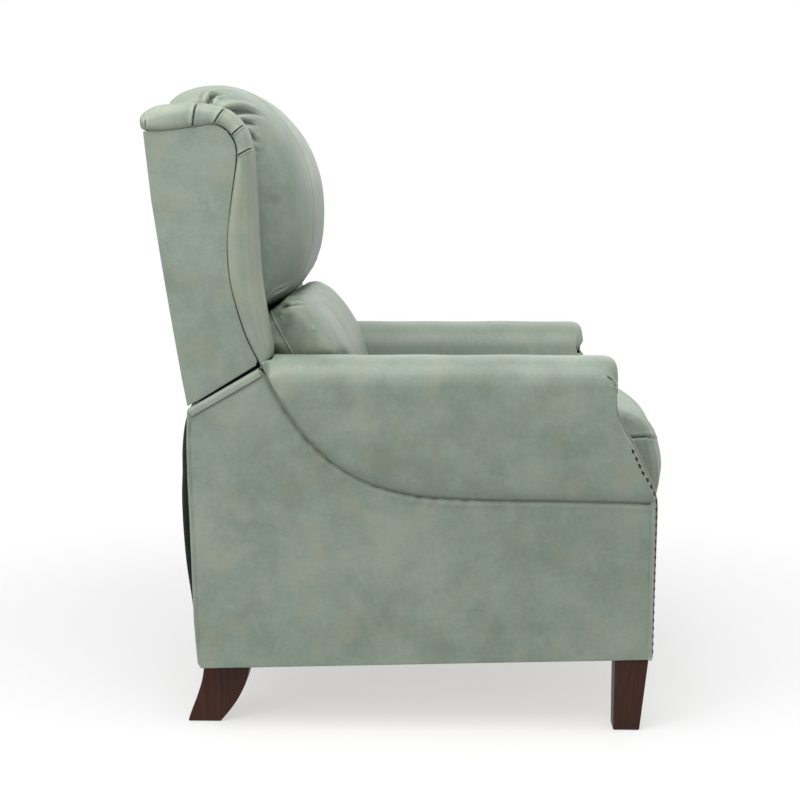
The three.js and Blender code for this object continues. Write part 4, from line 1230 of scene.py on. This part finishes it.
def section_at(outline, half_width, core, keep, share):
    """The outline drawn in towards the core, at a share of the way out, as out, ahead and up."""
    outline = np.asarray(outline, float)
    start, end = np.array(core[0], float), np.array(core[-1], float)
    span = end - start
    along = np.clip((outline - start) @ span / max(1e-9, span @ span), 0, 1)
    ring = between(start + along[:, None] * span, outline, keep(abs(share)))
    return np.c_[share * half_width(ring[:, 1]) + 0 * ring[:, 1], ring]


def pillow_block(name, outline, half_width, core, keep, stations=25):
    """A closed skin: outline as ahead and up, half_width a function of up, keep a function of the
    share out from the middle, core the point or the line that the ends are drawn in to."""
    across = np.sin(np.linspace(-1, 1, stations) * np.pi / 2)
    outline = np.asarray(outline, float)
    outline = resampled(np.vstack([outline, outline[:1]]), 120)
    rings = resampled([section_at(outline, half_width, core, keep, share) for share in across], 80)
    slits = [section_at(outline, half_width, core, lambda _: 0.02, share) for share in (-1, 1)]
    closed = [slit.copy() for slit in slits]
    for ring in closed:
        ring[:, 1:] = ring[:, 1:].mean(0)
    net = np.concatenate([closed[:1], slits[:1], rings, slits[1:], closed[1:]])
    return laid_grid(name, placed(net[..., 0], net[..., 1], net[..., 2]), merge=0.0001)


# %% [markdown]
# ### Head pillow
# The head pillow is a big plump roll across the top of the back. The hide is gathered into the
# wing's top edge, so deep soft folds fan out from there over its rounded end, and it tucks under
# itself above the lumbar pillow.

# %% Head pillow
HEAD_OUTLINE = [(-179, 741), (-167, 762), (-156.5, 790), (-151, 825), (-149.5, 868), (-154, 915),
                (-166, 956), (-183, 992), (-208.5, 1026), (-238, 1054.5), (-275, 1077),
                (-314, 1084), (-345, 1082), (-375, 1073), (-397, 1059), (-408, 1040),
                (-405, 1020), (-394, 1006), (-352, 1001), (-340, 960), (-330, 880), (-318, 780),
                (-304, 700), (-290, 684), (-262, 681), (-226, 694), (-198, 714)]
HEAD_CORE = [(-285, 712), (-335, 1000)]
HEAD_HALF = 292.5
PANEL_SEAM_OUT = 125.0


def head_half(up):
    return HEAD_HALF


def head_keep(share):
    return 0.46 + 0.54 * max(0.0, 1 - share**3.2) ** 0.5


head_pillow = pillow_block("head_pillow_leather", HEAD_OUTLINE, head_half, HEAD_CORE, head_keep)
swell(head_pillow, 0.0065, 0.006)


def seen_from_side(surface, stops, side, lift=0.0, count=30):
    """A line of ahead and up, laid on what shows of the surface from one side."""
    line = resampled(np.asarray(stops, float), count)
    found = []
    for point in placed(360.0 * side, line[:, 0], line[:, 1]):
        place, normal, *_ = surface.ray_cast(Vector(point), Vector((side, 0, 0)))
        if place is not None:
            found.append(np.array(place) + np.array(normal) * lift)
    return np.array(found)


def fold_both_ends(pillow, surface, folds, fade):
    for side in (1, -1):
        for stops, depth, width in folds:
            press(pillow, [seen_from_side(surface, stops, side)], depth, width, lip=0.3, fade=fade)


# Each fold from the wing's edge forwards, as ahead and up: line, depth and width. A depth below
# nothing is a ridge that stands up beside a fold.
HEAD_FOLDS = [
    ([(-314, 1046), (-312, 1060), (-305, 1066), (-292, 1069), (-272, 1067)], -0.0035, 0.0075),
    ([(-310, 1044), (-306, 1055), (-301, 1059), (-291, 1060), (-278, 1058)], 0.0090, 0.0042),
    ([(-289, 1038), (-274, 1042), (-258, 1042), (-242, 1039), (-226, 1032)], -0.0040, 0.0085),
    ([(-278, 1026), (-262, 1031), (-247, 1032), (-233, 1028), (-216, 1018)], 0.0066, 0.0062),
    ([(-261, 1018), (-246, 1018), (-233, 1017), (-223, 1014)], -0.0018, 0.0055),
    ([(-254, 1012), (-239, 1010), (-226, 1004)], 0.0032, 0.0042),
    ([(-246, 993), (-237, 987), (-230, 979), (-222, 971)], 0.0044, 0.0044),
    ([(-236, 967), (-226, 964), (-217, 961)], 0.0012, 0.0050),
]
head_surface = surface_of(head_pillow)
fold_both_ends(head_pillow, head_surface, HEAD_FOLDS, (0.0, 0.8))
seam_share = PANEL_SEAM_OUT / HEAD_HALF
panel_seams = [onto(head_surface, placed(*section_at(
    resampled(HEAD_OUTLINE[:12], 60), head_half, HEAD_CORE, head_keep, side * seam_share).T))
    for side in (1, -1)]
# The lower seam rises from each end to the panel seam.
RIM_STOPS = [(268, -224, 713), (254, -206, 727), (216, -193, 734), (190, -182, 744),
             (165, -171, 757), (139, -163, 771)]
rim_seams = [onto(head_surface, line_of(*[(out * side, ahead, up) for out, ahead, up in RIM_STOPS],
                                        count=60)) for side in (1, -1)]
press(head_pillow, panel_seams, 0.0009, 0.0026, lip=0.35)
press(head_pillow, rim_seams, 0.0046, 0.0032, lip=0.5, fade=(0.0, 0.2))
smooth_shaded(head_pillow, 80)
dress(head_pillow, "backrest", "leather", replaces=("head_pillow",))
print("head pillow:", len(head_pillow.data.polygons), "faces")

# %% [markdown]
# ### Lumbar pillow
# It fills the small of the back, between the arms below and between the wings above. Its top is
# gathered under the head pillow, and a thin welt runs down each end where the front meets the side.

# %% Lumbar pillow
LUMBAR_OUTLINE = [(-182, 729), (-170, 730), (-155.5, 720.5), (-139.5, 706), (-118.5, 682.5),
                  (-99.5, 655), (-83.5, 625), (-70.5, 591), (-63, 560), (-63, 528), (-76, 508),
                  (-150, 503), (-235, 506), (-246, 530), (-262, 600), (-276, 640), (-282, 668),
                  (-262, 676), (-226, 688), (-196, 710)]
LUMBAR_CORE = [(-200, 620)]


def lumbar_half(up):
    return between(244.0, 289.0, eased(up, 592, 636))


def lumbar_keep(share):
    return 0.78 + 0.22 * max(0.0, 1 - share**5) ** 0.6


lumbar_pillow = pillow_block("lumbar_pillow_leather", LUMBAR_OUTLINE, lumbar_half, LUMBAR_CORE,
                             lumbar_keep)
swell(lumbar_pillow, 0.0065, 0.005)
LUMBAR_FOLDS = [
    ([(-200, 702), (-186, 706), (-168, 708), (-150, 704)], 0.0036, 0.0040),
    ([(-205, 693), (-186, 695), (-166, 699)], -0.0026, 0.0050),
]
lumbar_surface = surface_of(lumbar_pillow)
fold_both_ends(lumbar_pillow, lumbar_surface, LUMBAR_FOLDS, (0.3, 0.7))
# A gather runs from the pillow's top edge down its front, as ahead and up; each has its own reach.
GATHER = np.array([(-172, 732), (-158, 722), (-144, 709)])
GATHERS = 34
GATHERS_OUT = 235
draw = np.random.default_rng(23)
gathers = []
for out in np.linspace(-GATHERS_OUT, GATHERS_OUT, GATHERS) + draw.uniform(-4, 4, GATHERS):
    slant = draw.uniform(-4, 4)
    reach = draw.uniform(0.45, 1.0)
    stops = [(out + slant * step / 2, *between(GATHER[0], stop, reach))
             for step, stop in enumerate(GATHER)]
    gathers.append(onto(lumbar_surface, line_of(*stops, count=10)))
press(lumbar_pillow, gathers, 0.0011, 0.0022, lip=0.45, fade=(0.0, 0.7))
panel_seams = [onto(lumbar_surface, placed(side * PANEL_SEAM_OUT, *resampled(
    LUMBAR_OUTLINE[1:10], 60).T)) for side in (1, -1)]
press(lumbar_pillow, panel_seams, 0.0011, 0.0024, lip=0.4)
smooth_shaded(lumbar_pillow, 80)
dress(lumbar_pillow, "backrest", "leather", replaces=("lumbar_pillow",))
lumbar_surface = surface_of(lumbar_pillow)
for side, flip in (("right", 1), ("left", -1)):
    line = seen_from_side(lumbar_surface, [(-214, 693), (-204, 678), (-189, 651), (-170, 617),
                                           (-157, 594)], flip, 0.0006, 60)
    dress(welt(f"{side}_lumbar_welt", line, 0.0012), "backrest", "leather")

# %% [markdown]
# ### Seat cushion
# A box cushion: a crowned top panel, a band round the sides and a wrapped front. Its seams are
# plain, with a row of stitching each side, and they pull the leather in a little.

# %% Seat cushion
SEAT_LOW, SEAT_HIGH = 348.4, 529.5
SEAT_OUTLINE = [(-186, 352), (-160, SEAT_LOW), (60, SEAT_LOW), (280, SEAT_LOW), (420, SEAT_LOW),
                (452, 349.5), (468, 358), (474, 378), (476, 400), (474.5, 425), (471, 445),
                (466.5, 460), (463, 476), (458.5, 491), (450, 506.5), (429, 520), (391, 527),
                (320, 528), (240, SEAT_HIGH), (140, 527), (40, 518), (-50, 502), (-130, 490),
                (-178, 480), (-189, 450), (-189.5, 400)]
SEAT_CORE = [(143, 436)]
SEAT_HALF = 246.8
SEAM_OUT = 246.0
SEAT_CORNER = [(243, 441, 476), (243, 449, 452), (243, 454, 421), (243, 456, 386),
               (242, 452, 358)]


def seat_keep(share):
    return 0.94 + 0.06 * max(0.0, 1 - share**2) ** 0.8


seat_cushion = pillow_block("seat_cushion_leather", SEAT_OUTLINE, lambda up: SEAT_HALF, SEAT_CORE,
                            seat_keep)
swell(seat_cushion, 0.0075, 0.004, shrink=0.002)


def seat_seam(side):
    """The top seam: along a side, round the corner and across the front to the middle."""
    edge = SEAM_OUT * side
    return [(edge, -150, 466), (edge, 0, 480), (edge, 200, 484), (edge, 340, 480), (edge, 400, 478),
            (edge * 0.995, 430, 479), (side * 238, 450, 480), (side * 215, 462, 477),
            (side * 150, 468, 471), (0, 470, 465)]


seat_seams, corner_seams = [], []
seat_surface = surface_of(seat_cushion)
for side in (1, -1):
    top = onto(seat_surface, line_of(*seat_seam(side), count=160))
    corner = onto(seat_surface, line_of(*[(out * side, ahead, up) for out, ahead, up in
                                          SEAT_CORNER], count=50))
    seat_seams.append(top)
    corner_seams.append(corner)
press(seat_cushion, seat_seams, 0.0034, 0.0026, lip=0.45)
press(seat_cushion, corner_seams, 0.0012, 0.0040, lip=0.5)
smooth_shaded(seat_cushion, 80)
dress(seat_cushion, "seat", "leather", replaces=("seat_cushion",))
rows = [line + np.array([0, 0, shift]) for line in seat_seams for shift in (0.0046, -0.0046)]
stitched("seat_cushion_stitching", seat_cushion, rows, "seat")

# %% [markdown]
# ### Leg rest pad
# The leg rest is a board with a padded leather front. It closes the front of the chair under the
# cushion, and a welt runs round its rim.

# %% Leg rest pad
PAD_REAR, PAD_LOW, PAD_HIGH = 418.4, 134.5, 346.5
PAD_OUTLINE = [(PAD_REAR, 240), (PAD_REAR, 180), (PAD_REAR, 140), (420, PAD_LOW + 1),
               (428, PAD_LOW), (438, 137), (444, 146), (446.5, 165), (448.8, 240), (448, 315),
               (445, 334), (438, 343.5), (428, PAD_HIGH), (420, PAD_HIGH - 1), (PAD_REAR, 340),
               (PAD_REAR, 300)]


PAD_HALF = 242.6
RIM_OUT, RIM_LOW, RIM_HIGH = 234, 144, 337
RIM_AHEAD = 460                  # ahead of the pad, from where the rim's line is dropped onto it


def pad_keep(share):
    return 0.93 + 0.07 * max(0.0, 1 - share**26) ** 0.5


leg_rest_pad = pillow_block("leg_rest_leather", PAD_OUTLINE, lambda up: PAD_HALF,
                            [(PAD_REAR + 2, 240)], pad_keep)
finish_with(leg_rest_pad, "SUBSURF", levels=1, render_levels=1)
rim = [(-RIM_OUT, RIM_LOW), (-RIM_OUT, RIM_HIGH), (RIM_OUT, RIM_HIGH), (RIM_OUT, RIM_LOW),
       (-RIM_OUT, RIM_LOW)]
rim_out, rim_up = on_line(rim, np.linspace(0, 1, 400)).T
rim_line = onto(surface_of(leg_rest_pad), placed(rim_out, RIM_AHEAD, rim_up))
press(leg_rest_pad, [rim_line], 0.002, 0.002, lip=0.4)
smooth_shaded(leg_rest_pad, 70)
dress(leg_rest_pad, "leg_rest", "leather", replaces=("leg_rest_pad",))

# %% [markdown]
# ## Black cloth at the back
# Below the outside back a black cloth hangs slack from the foot of the back to the bottom of the
# base, stapled down both sides. It hides the mechanism. It is tied to neither body, so it stays
# where it is when the back reclines. A second, tight piece covers the bottom of the back itself.

# %% Curtain and apron
CURTAIN_LINE = [(-330, 112.5), (-345, 120), (-350, 160), (-355, 207), (-361, 260), (-364.5, 323),
                (-366, 380), (-365, 420), (-365.5, 460), (-362, 500), (-354, 528), (-342, 547)]
CURTAIN_HALF = 301
CURTAIN_LOW = 112
CURTAIN_EDGE = (-326.0, -337.0)      # how far ahead its stapled sides lie, low and high
CURTAIN_FULLNESS = 7                 # how much further out its middle hangs
RIPPLE = 1.5


def make_curtain():
    rows, columns = 96, 70
    line = on_line(resampled(CURTAIN_LINE, 120), np.linspace(0, 1, columns))
    across = np.linspace(-1, 1, rows)[:, None]
    sides = np.sin(across * np.pi / 2)
    edge = between(*CURTAIN_EDGE, (line[:, 1] - CURTAIN_LOW) / 430)
    fullness = (1 - np.abs(sides) ** 40) ** 0.5
    ripple = RIPPLE * np.sin(across * 11 + line[:, 1] / 60) * fullness
    middle = (CURTAIN_FULLNESS * (1 - sides**2)
              * np.sin(np.pi * (line[:, 1] - CURTAIN_LOW) / 435))
    ahead = between(edge, line[:, 0] - middle - ripple, fullness)
    piece = laid_grid("rear_curtain_cloth", placed(sides * CURTAIN_HALF, ahead, line[:, 1]))
    thickened(piece, 0.0012, offset=0)
    return smooth_shaded(piece, 60)


curtain = make_curtain()
curtain.data.materials.append(black_cloth)
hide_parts("rear_curtain")
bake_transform(curtain)


APRON_HALF = 218.5
APRON_LOW, APRON_HIGH = 424.5, 548.0
APRON_AHEAD = 9                      # of the line that the outside of the back follows


def make_apron():
    rows, columns = 60, 24
    across = np.linspace(-1, 1, rows)[:, None]
    upward = np.linspace(0, 1, columns)[None, :]
    up = between(APRON_LOW, APRON_HIGH, upward)
    slack = 1.5 * np.sin(np.pi * upward) * (1 - across**4)
    net = placed(across * APRON_HALF, back_face(up) + APRON_AHEAD - slack, up)
    piece = laid_grid("back_apron_cloth", net)
    thickened(piece, 0.0012, offset=0)
    return smooth_shaded(piece, 60)


apron = make_apron()
dress(apron, "backrest", "black_cloth", replaces=("back_apron",))

# %% [markdown]
# The gap between a wing and the slope below it is closed with a sheet of the same black cloth as
# painted shadow: it stands for the shade in that gap, so that no board shows through it.

# %% Painted shadow sheets in the gaps under the wings
GAP_SHADOW_REAR, GAP_SHADOW_FRONT = (-331.0, 547.2), (-224, 610.0)
GAP_SHADOW_OUTER, GAP_SHADOW_INNER = 384, 260.5


# A black sheet laid where there is only shadow under the wing: painted shadow.
def make_gap_shadow_sheet():
    along = np.linspace(0, 1, 20)[:, None]
    out = np.linspace(GAP_SHADOW_OUTER, GAP_SHADOW_INNER, 34)[None, :]
    ahead, up = (between(rear, front, along) for rear, front in zip(GAP_SHADOW_REAR, GAP_SHADOW_FRONT))
    piece = laid_grid("right_gap_lining_cloth", placed(out, ahead, up))
    return thickened(piece, 0.0008, offset=0)


# Both painted shadow sheets are black cloth on the base.
for shadow_sheet in dress_pair(make_gap_shadow_sheet(), "gap_shadow_sheet", "base", "black_cloth"):
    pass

# %% [markdown]
# ## Legs
# The front legs are square and taper towards the floor. The rear legs are sabre shaped: they curve
# out behind the chair so that it can't tip over when the back goes down. Each starts as a flat
# outline, is given its thickness, and has its edges eased as a spindle sander leaves them.

# %% Legs
FRONT_LEG_REAR, FRONT_LEG_FOOT, FRONT_LEG_TOP = 368.0, 412.0, 423.6
FRONT_LEG_INNER, FRONT_LEG_FOOT_OUT, FRONT_LEG_TOP_OUT = 332.0, 374.0, 386.0
FRONT_LEG_HEIGHTS = (125.2, 123.8)   # at its front and at its rear
SABRE_REAR = [(-353, 0), (-350, 10), (-345.5, 22.5), (-336.5, 46), (-329, 70), (-325.5, 91),
              (-325, 104)]
SABRE_FRONT = [(-297.5, 0), (-289, 10), (-280, 21), (-266.5, 41), (-253.5, 68), (-248.5, 92),
               (-247.5, 106.5)]
SABRE_OUT = 347.0
SABRE_WIDTH = 54.0


def make_front_leg():
    bpy.ops.object.select_all(action="DESELECT")
    bpy.ops.mesh.primitive_cube_add(size=1)
    leg = bpy.context.object
    leg.name = leg.data.name = "right_front_leg_wood"
    points = points_of(leg)
    outer, forward, foot = (points < 0).T
    ahead = np.where(forward, np.where(foot, FRONT_LEG_FOOT, FRONT_LEG_TOP), FRONT_LEG_REAR)
    up = np.where(foot, 0.0, np.where(forward, *FRONT_LEG_HEIGHTS))
    out = np.where(outer, np.where(foot, FRONT_LEG_FOOT_OUT, FRONT_LEG_TOP_OUT), FRONT_LEG_INNER)
    move_points(leg, placed(out, ahead, up))
    in_edit_mode(leg, lambda: bpy.ops.mesh.subdivide(number_cuts=6))
    bevelled(leg, 0.0022, 3, 30)
    return smooth_shaded(leg, 35)


def make_sabre_leg():
    rear, front = resampled(SABRE_REAR, 26), resampled(SABRE_FRONT, 26)
    share = np.linspace(0, 1, 10)[:, None, None]
    face = between(rear[None], front[None], share)
    leg = laid_grid("right_rear_leg_wood", placed(SABRE_OUT, face[..., 0], face[..., 1]))
    thickened(leg, SABRE_WIDTH * MM)
    bevelled(leg, 0.0025, 3, 50)
    return smooth_shaded(leg, 35)


front_leg, sabre_leg = make_front_leg(), make_sabre_leg()
dress_pair(front_leg, "front_leg_wood", "base", "leg_wood", "front_leg")
dress_pair(sabre_leg, "rear_leg_wood", "base", "leg_wood", "rear_leg")

# %% [markdown]
# ## Frame parts that stay
# Boards, rails, links, brackets and springs keep their measured shapes and only get a finish.

# %% Finishes on the frame
slots = {row["node"]: row["material_slot"] for row in frame["record"]["subparts"]}
for name, node in frame["nodes"].items():
    node.data.materials.clear()
    node.data.materials.append(slot_materials[slots[name]])
for threads in thread_pieces:
    threads.data.materials.append(thread)
for pattern in pattern_pieces:
    bpy.data.objects.remove(pattern, do_unlink=True)
